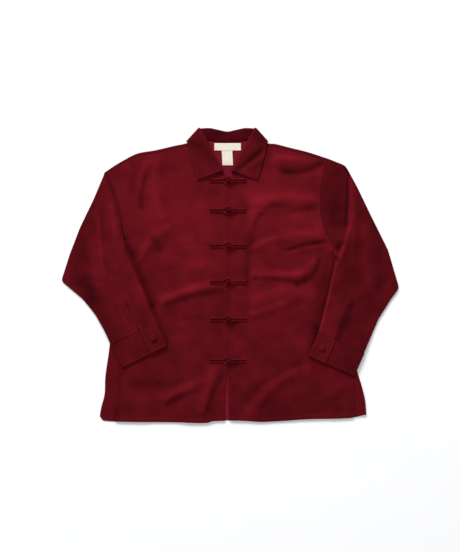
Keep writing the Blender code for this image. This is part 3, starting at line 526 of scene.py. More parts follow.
def back_relief(x, y):
    """How far creases lift the back, as far as the fronts over it leave room."""
    edges = np.minimum(distance_to(HEM_LINE, x, y) - 10, outline_away(x, y, 4, 4, 4))
    below_neck = below_collar(x, y, 560, 40, 60, 30)
    creases = fold_height(x, y, BACK_CREASES) + BACK_RIPPLE * (1 + ripple(x, y + 200))
    room = front_level(x, y) - BACK_LEVEL - SHELL - SEAM / 2
    return np.clip(ramp(edges, 0, FOLD_RISE) * below_neck * creases, 0, room)


def hem_relief(x, y):
    """The hem's turning: one more ply up to the stitched line, with the cloth drawn in at the thread."""
    above = y - hem_at(x) - HEM_TURN
    return HEM_PLY * (1 - ramp(above, 1.5, 2.0) - bump(above, 1.5))


def edge_roll(x, y):
    """The wearer's left front edge stands a little proud of the other."""
    return np.where(x > 0, 1.1, 0.25) * bump(x, 5.5) * (1 - ramp(y, 590, 12))


def front_level(x, y):
    """Middle of the front panels' cloth above the surface."""
    x = np.asarray(x, float)
    y = np.asarray(y, float)
    level = FRONT_LEVEL + neck_lift(x, y) + front_relief(x, y)
    lowest = LOWEST_FRONT + neck_lift(x, y)
    level = lowest + np.logaddexp(0, (level - lowest) * 4) / 4
    return level + hem_relief(x, y) + edge_roll(x, y)


def sleeve_base(side, x, y):
    """Underside of a sleeve: on the surface beside the body, and on the body where it lies over it."""
    over = (side * (side_at(side, y) - x) > 0) & (y < ARMHOLES[side][0][1])
    away = np.where(over, 0.0, distance_to(SIDE_LINES[side], x, y))
    return (FRONT_TOP + SLEEVE_CLEAR) * (1 - ramp(away, 10, 56))


def painted_crest_shading(relief):
    """Painted light on crests and painted shade in troughs, by the height of the relief."""
    return np.clip(relief / CREST_HEIGHT, -CREST_SHADING_LIMIT, CREST_SHADING_LIMIT)


def place(points):
    """Garment millimetres to metres about the middle of the whole outline."""
    return (np.asarray(points, float) + (*FRAME_SHIFT, 0.0)) * 0.001


def linear(colour):
    """An sRGB hex colour as linear values with full alpha."""
    parts = [int(colour[k:k + 2], 16) / 255 for k in (1, 3, 5)]
    return (*[c / 12.92 if c <= 0.04045 else ((c + 0.055) / 1.055) ** 2.4 for c in parts], 1.0)


def add_node(tree, kind, links=None, **settings):
    """A node with its settings. Links maps an input's name or number to a value or a node's output."""
    node = tree.nodes.new(kind)
    for name, value in settings.items():
        setattr(node, name, value)
    for key, value in (links or {}).items():
        if isinstance(value, bpy.types.NodeSocket):
            tree.links.new(value, node.inputs[key])
        else:
            node.inputs[key].default_value = value
    return node


def new_material(name, roughness, ior, specular, sheen=0.0, sheen_roughness=0.5, tint="#FFFFFF"):
    """A material with its uniform values on the shader's own sockets, and the place in it of each point."""
    made = bpy.data.materials.new(name)
    made.use_nodes = True
    shader = made.node_tree.nodes["Principled BSDF"]
    for key, value in (("Roughness", roughness), ("IOR", ior), ("Specular IOR Level", specular),
                       ("Sheen Weight", sheen), ("Sheen Roughness", sheen_roughness),
                       ("Sheen Tint", linear(tint))):
        shader.inputs[key].default_value = value
    return made, made.node_tree, add_node(made.node_tree, "ShaderNodeTexCoord").outputs["Object"]


def paint(made, colour, height=None, strength=0.0, depth=0.0):
    """Joins a colour to the shader, and a height as fine relief of so many millimetres."""
    tree = made.node_tree
    shader = tree.nodes["Principled BSDF"]
    tree.links.new(colour, shader.inputs["Base Color"])
    if height is not None:
        relief = add_node(tree, "ShaderNodeBump",
                          {"Height": height, "Strength": strength, "Distance": depth * 0.001})
        tree.links.new(relief.outputs["Normal"], shader.inputs["Normal"])
    return made


def mix_colour(tree, share, first, second):
    """One colour over another by a share from 0 to 1. Inputs 6 and 7 are the node's two colours."""
    return add_node(tree, "ShaderNodeMix", {0: share, 6: first, 7: second}, data_type="RGBA").outputs[2]


def calculate(tree, operation, first, second):
    return add_node(tree, "ShaderNodeMath", {0: first, 1: second}, operation=operation).outputs[0]


def noise(tree, where, size, detail=2.0):
    """A noise whose patches are this many millimetres across."""
    return add_node(tree, "ShaderNodeTexNoise",
                    {"Vector": where, "Scale": 1000 / size, "Detail": detail}).outputs["Fac"]


def centred(tree, value, reach):
    """A noise's usual values, 0.3 to 0.7, spread from -reach to reach."""
    return add_node(tree, "ShaderNodeMapRange", {"Value": value, "From Min": 0.3, "From Max": 0.7,
                                                 "To Min": -reach, "To Max": reach}).outputs[0]


def own_value(tree, name):
    """A value that the mesh's points carry."""
    return add_node(tree, "ShaderNodeAttribute", attribute_name=name).outputs["Fac"]


def velvet_material(name, lit, middle, deep, inside, sheen):
    """Short-pile rayon velvet: dull, with a soft sheen at its edges. It is paler or darker in random brushed
    patches, and by the tone and the painted light and painted shade that its points carry: paler on crests,
    darker in troughs and creases and in painted shadows."""
    made, tree, where = new_material(name, 0.92, 1.47, 0.03, sheen, 0.42, lit)
    pile = noise(tree, where, PILE_CLUMP)
    brushed = centred(tree, noise(tree, where, BRUSHED_PATCH, 4.0), 0.28)
    tone = calculate(tree, "ADD", brushed, centred(tree, pile, 0.16))
    # The points' tone and painted light and shade, added to the random tone
    tone = calculate(tree, "ADD", tone, own_value(tree, "nap"))
    paler = calculate(tree, "MAXIMUM", tone, 0.0)
    darker = calculate(tree, "MAXIMUM", calculate(tree, "MULTIPLY", tone, -1.0), 0.0)
    colour = mix_colour(tree, paler, linear(middle), linear(lit))
    colour = mix_colour(tree, darker, colour, linear(deep))
    if inside:
        colour = mix_colour(tree, own_value(tree, "inside"), colour, linear(inside))
    return paint(made, colour, pile, 0.35, 0.6)


def label_material():
    """Woven polyester satin tape: fine ribs across, a soft gloss, and a little yellowing. A wave of scale 1
    has its crests 314 mm apart."""
    made, tree, where = new_material("woven_satin_tape", 0.55, 1.55, 0.4)
    ribs = add_node(tree, "ShaderNodeTexWave", {"Vector": where, "Scale": 100 * math.pi / TAPE_RIB,
                                                "Distortion": 0.4}, bands_direction="Y").outputs["Fac"]
    stain = noise(tree, where, TAPE_STAIN, 3.0)
    return paint(made, mix_colour(tree, stain, linear(LABEL_CREAM), linear(LABEL_SHADE)), ribs, 0.3, 0.2)


def mottled_material(name, size, first, second, *looks):
    """A plain material whose colour wanders a little between two."""
    made, tree, where = new_material(name, *looks)
    return paint(made, mix_colour(tree, noise(tree, where, size), linear(first), linear(second)))


# The cloth's right side, its duller wrong side at the back, the tubing with painted shade in its groove and
# on its ball knot, and the buttons' cover, which is stretched and so has the most sheen
VELVET_CLOTH = velvet_material("rayon_velvet", VELVET_LIT, VELVET_MID, VELVET_DEEP, VELVET_INSIDE, 0.35)
BACK_CLOTH = velvet_material("rayon_velvet_back", VELVET_MID, BACK_LIT, VELVET_DEEP, VELVET_INSIDE, 0.3)
KNOT_CLOTH = velvet_material("velvet_bias_tubing", VELVET_LIT, VELVET_MID, KNOT_SHADE, None, 0.35)
BUTTON_CLOTH = velvet_material("velvet_button_cover", VELVET_LIT, VELVET_MID, VELVET_DEEP, None, 0.45)
LABEL_CLOTH = label_material()
# Spun polyester sewing thread in the cloth's colour, with a faint twist
THREAD = mottled_material("spun_polyester_thread", THREAD_TWIST, VELVET_MID, THREAD_RED, 0.6, 1.55, 0.35)
# Matt white card, faintly mottled
CARD = mottled_material("matt_white_card", CARD_MOTTLE, FLOOR_WHITE, FLOOR_SHADE, 0.9, 1.5, 0.2)


def add_object(name, data):
    made = bpy.data.objects.new(name, data)
    bpy.context.scene.collection.objects.link(made)
    return made


def add_mesh(name, points, faces, cloth, **attributes):
    """A smooth-shaded object from garment millimetres, with values for its points."""
    mesh = bpy.data.meshes.new(name)
    mesh.from_pydata(place(points).tolist(), [], [list(f) for f in faces])
    mesh.materials.append(cloth)
    for key, values in attributes.items():
        mesh.attributes.new(key, "FLOAT", "POINT").data.foreach_set("value", np.asarray(values, np.float32))
    mesh.shade_smooth()
    return add_object(name, mesh)


def dress(made, node):
    """Ties a piece to the solid that it stands for."""
    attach(made, "root")
    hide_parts(node)


def grid_squares(rows, columns, ring):
    """Corner numbers of each square of a grid."""
    number = np.arange(rows * columns).reshape(rows, columns)
    j, i = np.meshgrid(np.arange(rows - 1), np.arange(columns if ring else columns - 1), indexing="ij")
    after = (i + 1) % columns
    return np.stack([number[j, i], number[j, after], number[j + 1, after], number[j + 1, i]], axis=-1)


def unit(vectors):
    size = np.linalg.norm(vectors, axis=-1, keepdims=True)
    return vectors / np.where(size > 0, size, 1)


def quarter_turn(ways):
    """Directions in plan, each turned a quarter to its left."""
    return np.column_stack([-ways[:, 1], ways[:, 0]])


def higher_side(top, under):
    """The points of whichever side of a shell faces up."""
    return np.where(top[..., 2:3] > under[..., 2:3], top, under)


RIM_ANGLES = np.radians([45, 90, 135])


def shell(name, mid, thickness, cloth, cells=None, ring=False, outside_up=True, nap=None, plain=False):
    """A thin cloth with round edges about a grid of middle points. It returns the object and the grid's
    points on its outer and inner sides."""
    rows, columns = mid.shape[:2]
    half = thickness / 2
    squares = grid_squares(rows, columns, ring)
    squares = squares.reshape(-1, 4) if cells is None else squares[cells]
    points = mid.reshape(-1, 3)
    corners = points[squares]
    facing = np.cross(corners[:, 2] - corners[:, 0], corners[:, 3] - corners[:, 1])
    if ring:
        wrong = np.einsum("ij,ij->", corners.mean(axis=1) - points.mean(axis=0), facing) < 0
    else:
        wrong = (facing[:, 2].sum() < 0) == outside_up
    if wrong:
        squares, facing = squares[:, ::-1], -facing
    normals = np.zeros_like(points)
    np.add.at(normals, squares.ravel(), np.repeat(facing, 4, axis=0))
    normals = unit(normals)
    edges = np.concatenate([squares[:, [k, (k + 1) % 4]] for k in range(4)])
    _, index, uses = np.unique(np.sort(edges, axis=1), axis=0, return_inverse=True, return_counts=True)
    rim = edges[uses[index.reshape(-1)] == 1]
    away = unit(np.cross(points[rim[:, 1]] - points[rim[:, 0]], normals[rim[:, 0]]))
    outward = np.zeros_like(points)
    np.add.at(outward, rim.ravel(), np.repeat(away, 2, axis=0))
    outward = unit(outward)
    base = points - outward * half
    on_rim, place_of = np.unique(rim, return_inverse=True)
    place_of = place_of.reshape(-1, 2)
    count = len(points)
    layers = [base + normals * half, base - normals * half]
    for angle in RIM_ANGLES:
        layers.append((base + half * (normals * math.cos(angle) + outward * math.sin(angle)))[on_rim])
    levels = [rim] + [2 * count + k * len(on_rim) + place_of for k in range(len(RIM_ANGLES))] + [rim + count]
    faces = [squares, squares[:, ::-1] + count]
    for upper, lower in zip(levels, levels[1:]):
        faces.append(np.column_stack([upper[:, 1], upper[:, 0], lower[:, 0], lower[:, 1]]))
    faces = np.concatenate(faces)
    everything = np.concatenate(layers)
    inside = np.zeros(len(everything))
    inside[count:2 * count] = 0.0 if plain else 1.0
    tone = np.zeros(len(everything))
    if nap is not None:
        tone[:count] = nap.ravel()
        tone[count:2 * count] = nap.ravel()
        tone[2 * count:] = np.tile(nap.ravel()[on_rim], len(RIM_ANGLES))
    used, faces = np.unique(faces, return_inverse=True)
    made = add_mesh(name, everything[used], faces.reshape(-1, 4), cloth, inside=inside[used], nap=tone[used])
    return made, (points + normals * half).reshape(mid.shape), (points - normals * half).reshape(mid.shape)


def finish_cloth(made, node):
    """Ties a cloth to the solid that it stands for."""
    dress(made, node)


def patch(bottom, top, left, right, u, v):
    """A grid between four lines, which were sampled at the shares u and v."""
    u = np.asarray(u)[None, :, None]
    v = np.asarray(v)[:, None, None]
    flat = (1 - v) * bottom[None] + v * top[None] + (1 - u) * left[:, None] + u * right[:, None]
    corners = ((1 - u) * (1 - v) * bottom[0] + u * (1 - v) * bottom[-1]
               + (1 - u) * v * top[0] + u * v * top[-1])
    return flat - corners


# Angles round a fold, and the same without the last one
FOLD_ANGLES = np.radians(np.arange(22.5, 181, 22.5))
RING_ARCS = FOLD_ANGLES[:-1]
STRIP_SHARES = (0.2, 0.4, 0.6, 1.0)


def fold_rows(line, fractions, side):
    """Rows along a fold, with the way inwards at each."""
    fold = along(line, fractions)
    run = np.gradient(fold, axis=0)
    return fold, unit(quarter_turn(run) * side)


def shoulder_rows(side, fractions):
    """Points along the shoulder's fold from the armhole to the neck, with the way over to the front."""
    tops = along(SHOULDER_LINES[side], fractions)
    down_arm = unit(ARMHOLE_LINES[side][-6] - ARMHOLE_LINES[side][-1])
    blend = smooth_step(np.asarray(fractions) * 3.5)[:, None]
    return tops, unit((1 - blend) * down_arm + blend * np.array([0.0, -1.0]))


def strip_widths(side, heights):
    table = np.array(SIDE_STRIPS[side], float)
    return np.interp(heights, table[:, 0], table[:, 1])


def fold_over(tops, ways, widths):
    """The rows of a panel's turn round a fold, and on to the end of the strip on the front."""
    rows = []
    turn = VELVET / 2 + FOLD_RADIUS
    for angle in FOLD_ANGLES:
        reach = turn - FOLD_RADIUS * math.sin(angle)
        level = BACK_LEVEL + FOLD_RADIUS * (1 - math.cos(angle))
        rows.append((tops + ways * reach, level))
    for share in STRIP_SHARES:
        rows.append((tops + ways * (turn + (widths - turn)[:, None] * share), FRONT_LEVEL))
    made = []
    for at, level in rows:
        raised = level + neck_lift(at[:, 0], at[:, 1])
        if level == FRONT_LEVEL:
            raised = raised + hem_relief(at[:, 0], at[:, 1])
        made.append(np.column_stack([at, raised]))
    return made


# Rows of the panels' grids as shares of their length, close together at the hem's stitched line
HEM_ROWS = np.array((0.0, 1.2, 3.0, 5.0, 6.6, 7.8, 9.0, 10.2, 11.4, 13.0, 15.0)) / 690
SIDE_PART = 0.63  # how much of the back's length lies below its armholes
BACK_SIDE = np.concatenate([HEM_ROWS / SIDE_PART, np.linspace(0.045, 1.0, 76)])
BACK_ARM = np.linspace(0, 1, 38)[1:]
BACK_SHOULDER = np.linspace(0, 1, 42)
BACK_NECK_SHARES = np.linspace(0, 1, 41)


def build_back():
    """One panel on the surface. It turns over both side folds and both shoulders to the front."""
    turn = FOLD_RADIUS + VELVET / 2
    sides = {s: fold_rows(SIDE_LINES[s], BACK_SIDE, s) for s in WORDS}
    shoulders = {s: shoulder_rows(s, BACK_SHOULDER) for s in WORDS}
    inner = {s: tops + ways * turn for s, (tops, ways) in shoulders.items()}
    edges = {}
    for s, (fold, ways) in sides.items():
        edges[s] = np.vstack([fold + ways * turn, along(ARMHOLE_LINES[s], BACK_ARM)])
        edges[s][-1] = inner[s][0]
    neck = along(spline(BACK_NECK), BACK_NECK_SHARES)
    neck[0], neck[-1] = inner[-1][-1], inner[1][-1]
    top = np.vstack([inner[-1][:-1], neck, inner[1][::-1][1:]])
    columns = len(top)
    u = np.linspace(0, 1, columns)
    v = np.concatenate([BACK_SIDE * SIDE_PART, SIDE_PART + BACK_ARM * (1 - SIDE_PART)])
    bottom_x = edges[-1][0, 0] + (edges[1][0, 0] - edges[-1][0, 0]) * u
    bottom = np.column_stack([bottom_x, hem_at(bottom_x)])
    bottom[0], bottom[-1] = edges[-1][0], edges[1][0]
    flat = patch(bottom, top, edges[-1], edges[1], u, v)
    lift = back_relief(flat[..., 0], flat[..., 1])
    levels = BACK_LEVEL + neck_lift(flat[..., 0], flat[..., 1]) + lift
    rows = flat.shape[0]
    extra = len(FOLD_ANGLES) + len(STRIP_SHARES)
    full = np.zeros((rows + extra, columns + 2 * extra, 3))
    full[:rows, extra:extra + columns] = np.dstack([flat, levels])
    side_count = len(BACK_SIDE)
    for s, first, step in ((-1, extra - 1, -1), (1, extra + columns, 1)):
        fold, ways = sides[s]
        for k, line in enumerate(fold_over(fold, ways, strip_widths(s, fold[:, 1]))):
            full[:side_count, first + step * k] = line
    last = len(BACK_SHOULDER) - 1
    places = {-1: np.arange(last + 1), 1: np.arange(columns - 1, columns - last - 2, -1)}
    for s, first, step in ((-1, extra - 1, -1), (1, extra + columns, 1)):
        tops, ways = shoulders[s]
        for k, line in enumerate(fold_over(tops, ways, np.full(len(tops), SHOULDER_WRAP))):
            full[rows + k, extra + places[s]] = line
        edge = full[rows - 1:, first - step]
        outward = np.array([-ways[0, 1], ways[0, 0]]) * s
        depth = (edge[:, 2] - BACK_LEVEL) / FOLD_RADIUS - 1
        for k, (reach, drop) in enumerate(TUCKS):
            inwards = np.outer(np.sqrt(np.maximum(1 - depth**2, 0)) * drop, ways[0])
            full[rows - 1:, first + step * k] = np.column_stack([edge[:, :2] + outward * reach + inwards,
                                                                 edge[:, 2] - depth * drop])
    cells = np.zeros((full.shape[0] - 1, full.shape[1] - 1), bool)
    cells[: rows - 1, extra:extra + columns - 1] = True
    cells[: side_count - 1, :extra] = True
    cells[: side_count - 1, extra + columns - 1:] = True
    cells[rows - 1:, extra - len(TUCKS):extra + last] = True
    cells[rows - 1:, extra + columns - 1 - last:extra + columns - 1 + len(TUCKS)] = True
    nap = np.zeros(full.shape[:2])
    # The outer face, which faces down, a little paler, with painted shade where creases lift it off the
    # surface
    nap[:rows, extra:extra + columns] = 0.2 - 0.4 * lift
    made, _, _ = shell("back_panel", full, SHELL, BACK_CLOTH, cells, outside_up=False, nap=nap)
    finish_cloth(made, "back")


FRONT_PIT = 0.635  # how much of a front's length lies below its armhole
FRONT_ROWS = np.concatenate([HEM_ROWS, np.linspace(17.5 / 690, FRONT_PIT, 128),
                             np.linspace(FRONT_PIT, 1.0, 76)[1:]])
FRONT_SHOULDER = np.linspace(0, 1, 60)
FRONT_COLUMNS = 106


def tucked_in(mid, side, over):
    """Adds the seam allowance that turns in under the next piece, along the side, armhole and shoulder."""
    rows, columns = mid.shape[:2]
    extra = len(TUCKS)
    top = slice(extra, extra + len(over))
    full = np.zeros((rows + extra, columns + extra, 3))
    full[:rows, extra:] = mid
    run = unit(np.gradient(mid[:, 0, :2], axis=0))
    outward = quarter_turn(run) * -side
    for k, (reach, drop) in enumerate(TUCKS):
        full[:rows, extra - 1 - k] = np.column_stack([mid[:, 0, :2] + outward * reach, mid[:, 0, 2] - drop])
        edge = mid[-1, :len(over)]
        full[rows + k, top] = np.column_stack([edge[:, :2] - over * reach, edge[:, 2] - drop])
    cells = np.zeros((rows + extra - 1, columns + extra - 1), bool)
    cells[:rows - 1] = True
    cells[rows - 1:, extra:extra + len(over) - 1] = True
    return full, cells


def build_front(side):
    """One front panel, from the side seam and armhole to the centre front edge."""
    low = FRONT_ROWS <= FRONT_PIT
    fold, ways = fold_rows(SIDE_LINES[side], FRONT_ROWS[low] / FRONT_PIT, side)
    seam = fold + ways * (strip_widths(side, fold[:, 1]) + SEAM + TUCK_START)[:, None]
    tops, over = shoulder_rows(side, FRONT_SHOULDER)
    wrap = SHOULDER_WRAP + SEAM + TUCK_START
    shoulder = tops + over * wrap
    arm_end = 1 - wrap / length_of(ARMHOLE_LINES[side])
    arm = along(ARMHOLE_LINES[side], arm_end * (FRONT_ROWS[~low] - FRONT_PIT) / (1 - FRONT_PIT))
    run = unit(np.gradient(arm, axis=0))
    arm = arm + quarter_turn(run) * side * TUCK_START
    outer = np.vstack([seam, arm])
    outer[-1] = shoulder[0]
    neck = spline([(side * x, y) for x, y in FRONT_NECK])
    below = neck[neck[:, 1] < shoulder[-1, 1] - 1]
    neck_columns = FRONT_COLUMNS - len(FRONT_SHOULDER) + 1
    neck = along(np.vstack([shoulder[-1:], below]), np.linspace(0, 1, neck_columns))
    top = np.vstack([shoulder[:-1], neck])
    slit = spline(SLIT_EDGES[side])
    heights = slit[0, 1] + FRONT_ROWS * (top[-1, 1] - slit[0, 1])
    centre = np.column_stack([np.interp(heights, slit[:, 1], slit[:, 0]), heights])
    centre[:, 0] = np.where(heights > slit[-1, 1], side * SEAM / 2, centre[:, 0])
    centre[-1] = top[-1]
    u = np.linspace(0, 1, FRONT_COLUMNS)
    bottom_x = outer[0, 0] + (centre[0, 0] - outer[0, 0]) * u
    bottom = np.column_stack([bottom_x, hem_at(bottom_x)])
    bottom[0] = outer[0]
    centre[0] = bottom[-1]
    flat = patch(bottom, top, outer, centre, u, FRONT_ROWS)
    x, y = flat[..., 0], flat[..., 1]
    mid = np.dstack([flat, front_level(x, y)])
    mid, cells = tucked_in(mid, side, over)
    x, y = mid[..., 0], mid[..., 1]
    # Painted light and shade: paler on crests and darker in troughs, the listed strokes, and paler towards
    # the neck and darker towards the hem
    nap = painted_crest_shading(front_relief(x, y)) + fold_height(x, y, FRONT_PAINTED_SHADING) + 0.2 * (y - 330) / 330
    word = WORDS[side]
    made, _, _ = shell("front_panel_" + word, mid, SHELL, VELVET_CLOTH, cells, nap=nap)
    finish_cloth(made, "front_" + word)


STATION_STEP = 5.0
SLEEVE_SEAM_DIP = 0.35  # how far a sleeve's upper layer is drawn down at the armhole's seam
# Points across a sleeve's layer, close together at its folds and beside the slit
SHARES = np.concatenate([np.linspace(0, 0.06, 6), np.linspace(0.08, 0.36, 13), np.linspace(0.38, 0.92, 24),
                         np.linspace(0.94, 1.0, 6)])
SLIT_CELL = 18
SLIT_ROOM = 0.9  # how much further apart the two layers are at the slit
LEAST_ROOM = 1.4

# Rings at a sleeve's end inside the cuff: how far in, and the share of the thickness that is left
SLEEVE_END = ((0.6, 0.85), (2.4, 0.3))
SLEEVE_END_TAPER = 0.06


def sleeve_sections(side):
    """Outer and inner ends of lines across a sleeve, and how far along it each one is."""
    cuff_outer, cuff_inner = CUFF_CORNERS[side]
    table = [(*ARMHOLES[side][-1], *ARMHOLES[side][0]), *SLEEVES[side], (*cuff_outer, *cuff_inner)]
    table = np.array(table, float)
    rows = [table[:1]]
    for before, after in zip(table, table[1:]):
        move = np.linalg.norm((after[:2] + after[2:] - before[:2] - before[2:]) / 2)
        count = max(1, round(move / STATION_STEP))
        rows.append(before + np.outer(np.arange(1, count + 1) / count, after - before))
    rows = np.vstack(rows)
    middle = (rows[:, :2] + rows[:, 2:]) / 2
    gone = np.concatenate([[0], np.cumsum(np.linalg.norm(np.diff(middle, axis=0), axis=1))])
    smoothed = rows.copy()
    smoothed[1:-1] = (smoothed[:-2] + 2 * smoothed[1:-1] + smoothed[2:]) / 4
    return smoothed, gone


def section_points(side, row, gone, fractions):
    """Points across one section. The armhole's curve fades out along the sleeve."""
    outer, inner = row[:2], row[2:]
    straight = inner + np.outer(fractions, outer - inner)
    arm = ARMHOLE_LINES[side]
    chord = arm[0] + np.outer(fractions, arm[-1] - arm[0])
    return straight + (along(arm, fractions) - chord) * max(0.0, 1 - gone / 40)


def fold_ways(folds, others, side):
    """Steps in plan that move a point in by one unit from a sleeve's fold, section by section."""
    run = unit(np.gradient(folds, axis=0))
    square = quarter_turn(run) * side
    section = unit(others - folds)
    acute = (section * run).sum(axis=1, keepdims=True) > 0
    return np.where(acute, section / (section * square).sum(axis=1, keepdims=True), square)


def sleeve_relief(x, y, gone, shares, width):
    """How far folds and creases lift a sleeve's upper layer."""
    edge = np.minimum(shares, 1 - shares) * width
    large = ramp(edge, 0, 20) * ramp(gone, 6, 20) * fold_height(x, y, SLEEVE_FOLDS)
    fine = fold_height(x, y, SLEEVE_CREASES) + SLEEVE_RIPPLE * ripple(x + 300, y)
    return large + ramp(edge, 0, 9) * ramp(gone, 2, 12) * fine


def ring_points(side, row, gone, room, outer_way, inner_way):
    """One closed ring round a flat sleeve: upper layer, outer fold, lower layer, inner fold. The layers'
    ends keep clear of the folds."""
    width = np.linalg.norm(row[:2] - row[2:])
    turn = FOLD_RADIUS + VELVET / 2
    plan = section_points(side, row, gone, SHARES)
    plan[0] = plan[0] + inner_way * turn
    plan[-1] = plan[-1] + outer_way * turn
    for k, share in ((1, 0.75), (2, 0.4)):
        plan[k] = plan[k] + inner_way * turn * share
        plan[-1 - k] = plan[-1 - k] + outer_way * turn * share
    reach = (turn - FOLD_RADIUS * np.sin(RING_ARCS))[:, None]
    plan = np.vstack([plan, row[:2] + outer_way * reach, plan[::-1], row[2:] + inner_way * reach])
    arc = np.zeros(len(RING_ARCS))
    shares = np.concatenate([SHARES, 1 - arc, SHARES[::-1], arc])
    layers = np.ones(len(SHARES))
    mix = np.concatenate([layers, (1 + np.cos(RING_ARCS)) / 2, 0 * layers, (1 - np.cos(RING_ARCS)) / 2])
    x, y = plan[:, 0], plan[:, 1]
    base = sleeve_base(side, x, y) + BACK_LEVEL
    relief = sleeve_relief(x, y, gone, shares, width)
    level = base + np.maximum(room + relief, LEAST_ROOM) * mix + np.clip(0.4 * relief, 0, 1.0) * (1 - mix)
    return np.column_stack([x, y, level]), relief * mix


def tucked_end(side, ring):
    """Two more rings at a sleeve's end, squeezed together inside the cuff."""
    corner, across, down = cuff_frame(side)
    middle = corner + across * CUFF_WIDTH / 2
    rings = []
    for step, squeeze in SLEEVE_END:
        sideways = ((ring[:, :2] - middle) @ across) * (1 - squeeze) * SLEEVE_END_TAPER
        plan = ring[:, :2] + down * step - np.outer(sideways, across)
        level = sleeve_base(side, plan[:, 0], plan[:, 1]) + CUFF_WALL + 0.35
        rings.append(np.column_stack([plan, level + (ring[:, 2] - level) * squeeze]))
    return np.array(rings)


def build_sleeve(side):
    """A flat tube from the armhole to the cuff, slit above the cuff, with the strip behind the slit."""
    rows, gone = sleeve_sections(side)
    total = gone[-1]
    rooms = 2 * FOLD_RADIUS + SLIT_ROOM * ramp(gone, total - SLEEVE_SLIT - 50, 30)
    outer_ways = fold_ways(rows[:, :2], rows[:, 2:], -side)
    inner_ways = fold_ways(rows[:, 2:], rows[:, :2], side)
    rings = [ring_points(side, *given) for given in zip(rows, gone, rooms, outer_ways, inner_ways)]
    mid = np.array([ring for ring, _ in rings])
    relief = np.array([height for _, height in rings])
    arm = ARMHOLE_LINES[side]
    chord = (arm[-1] - arm[0]) / np.linalg.norm(arm[-1] - arm[0])
    mid[0, :, :2] += np.array([chord[1], -chord[0]]) * side * 2 * SEAM
    mid[0, :len(SHARES), 2] -= SLEEVE_SEAM_DIP
    first = int(np.nonzero(gone > total - SLEEVE_SLIT)[0][0]) - 1
    word = WORDS[side]
    build_placket(word, mid[first:])
    full = np.concatenate([mid, tucked_end(side, mid[-1])])
    cells = np.ones((len(full) - 1, full.shape[1]), bool)
    cells[first:, SLIT_CELL] = False
    x, y = full[..., 0], full[..., 1]
    # Painted light and shade: the listed strokes, each sleeve's painted shade, and paler crests and darker
    # troughs on the upper layer
    nap = fold_height(x, y, SLEEVE_PAINTED_SHADING) + SLEEVE_SHADE_TONES[side]
    nap[:len(mid)] += painted_crest_shading(relief)
    made, top, _ = shell("sleeve_tube_" + word, full, SHELL, VELVET_CLOTH, cells,
                         ring=True, nap=nap, plain=True)
    finish_cloth(made, "sleeve_" + word)
    return top[:len(mid)], first


# Points of the strip on each side of the slit, as shares of its reach
PLACKET_SHARES = np.array((1.0, 0.75, 0.5, 0.25))[:, None]


def build_placket(word, rings):
    """The strip behind a sleeve's slit, made from the points beside the slit, moved in."""
    rings = rings.copy()
    rings[-1] += (rings[-2] - rings[-1]) * 0.8
    rows = []
    for ring in rings:
        before, left, right, after = ring[SLIT_CELL - 2], *ring[SLIT_CELL:SLIT_CELL + 2], ring[SLIT_CELL + 3]
        out_left = unit(before - left)
        out_right = unit(after - right)
        reach = PLACKET_SHARES * PLACKET_REACH
        rows.append(np.vstack([left + out_left * reach, [left], [(left + right) / 2], [right],
                               right + out_right * reach[::-1]]))
    mid = np.array(rows)
    mid[..., 2] -= VELVET / 2 + SEAM + PLACKET_SHELL / 2
    made, _, _ = shell("placket_strip_" + word, mid, PLACKET_SHELL, VELVET_CLOTH, plain=True)
    finish_cloth(made, "placket_" + word)


def cuff_frame(side):
    """Corner at the inner fold on the sleeve's end, and unit directions across and down the cuff."""
    outer, inner = (np.array(c, float) for c in CUFF_CORNERS[side])
    across = unit(outer - inner)
    down = np.array([-across[1], across[0]])
    return inner, across, down if down[1] < 0 else -down


# Levels of the cuff's three layers: under, underlap and tab
CUFF_LOW = CUFF_WALL / 2
CUFF_MID = CUFF_LOW + 2.5
CUFF_HIGH = CUFF_MID + CUFF_WALL + SEAM + 0.1
CUFF_ROWS = np.concatenate([[0, 0.8, 1.8], np.linspace(3.5, CUFF_DEPTH - 8, 12),
                            CUFF_DEPTH - np.array((6.8, 6.0, 5.2, 4.0, 2.6, 1.2, 0))])
CUFF_ROWS = SEAM + 0.2 + CUFF_ROWS * (CUFF_DEPTH - SEAM - 0.2) / CUFF_DEPTH


TAB_ROUND = np.array((0, 1.2, 2.6, 4.0, 5.2, 6.0, 6.8, 8.0))
TAB_POINTS = len(TAB_ROUND) + 14
UNDERLAP_POINTS = 26
CUFF_MARGIN = 5.0  # how far the cuff's stitches keep from its other edges


def cuff_path():
    """The strip's way round the wrist from the tab's end to the underlap: across, level."""
    inner_radius = (CUFF_HIGH - CUFF_LOW) / 2
    outer_radius = (CUFF_MID - CUFF_LOW) / 2
    inner_turn = inner_radius + CUFF_WALL / 2
    outer_turn = outer_radius + CUFF_WALL / 2
    tab = np.concatenate([CUFF_TAB - TAB_ROUND,
                          np.linspace(CUFF_TAB - 10, inner_turn, TAB_POINTS - len(TAB_ROUND))])
    path = [(at, CUFF_HIGH) for at in tab]
    for angle in RING_ARCS:
        level = CUFF_LOW + inner_radius * (1 + math.cos(angle))
        path.append((inner_turn - inner_radius * math.sin(angle), level))
    far = CUFF_WIDTH - outer_turn
    path += [(inner_turn + (far - inner_turn) * k, CUFF_LOW) for k in np.linspace(0, 1, 28)]
    for angle in RING_ARCS:
        level = CUFF_LOW + outer_radius * (1 - math.cos(angle))
        path.append((far + outer_radius * math.sin(angle), level))
    path += [(far - (far - CUFF_UNDERLAP) * k, CUFF_MID) for k in np.linspace(0, 1, UNDERLAP_POINTS)]
    return np.array(path)


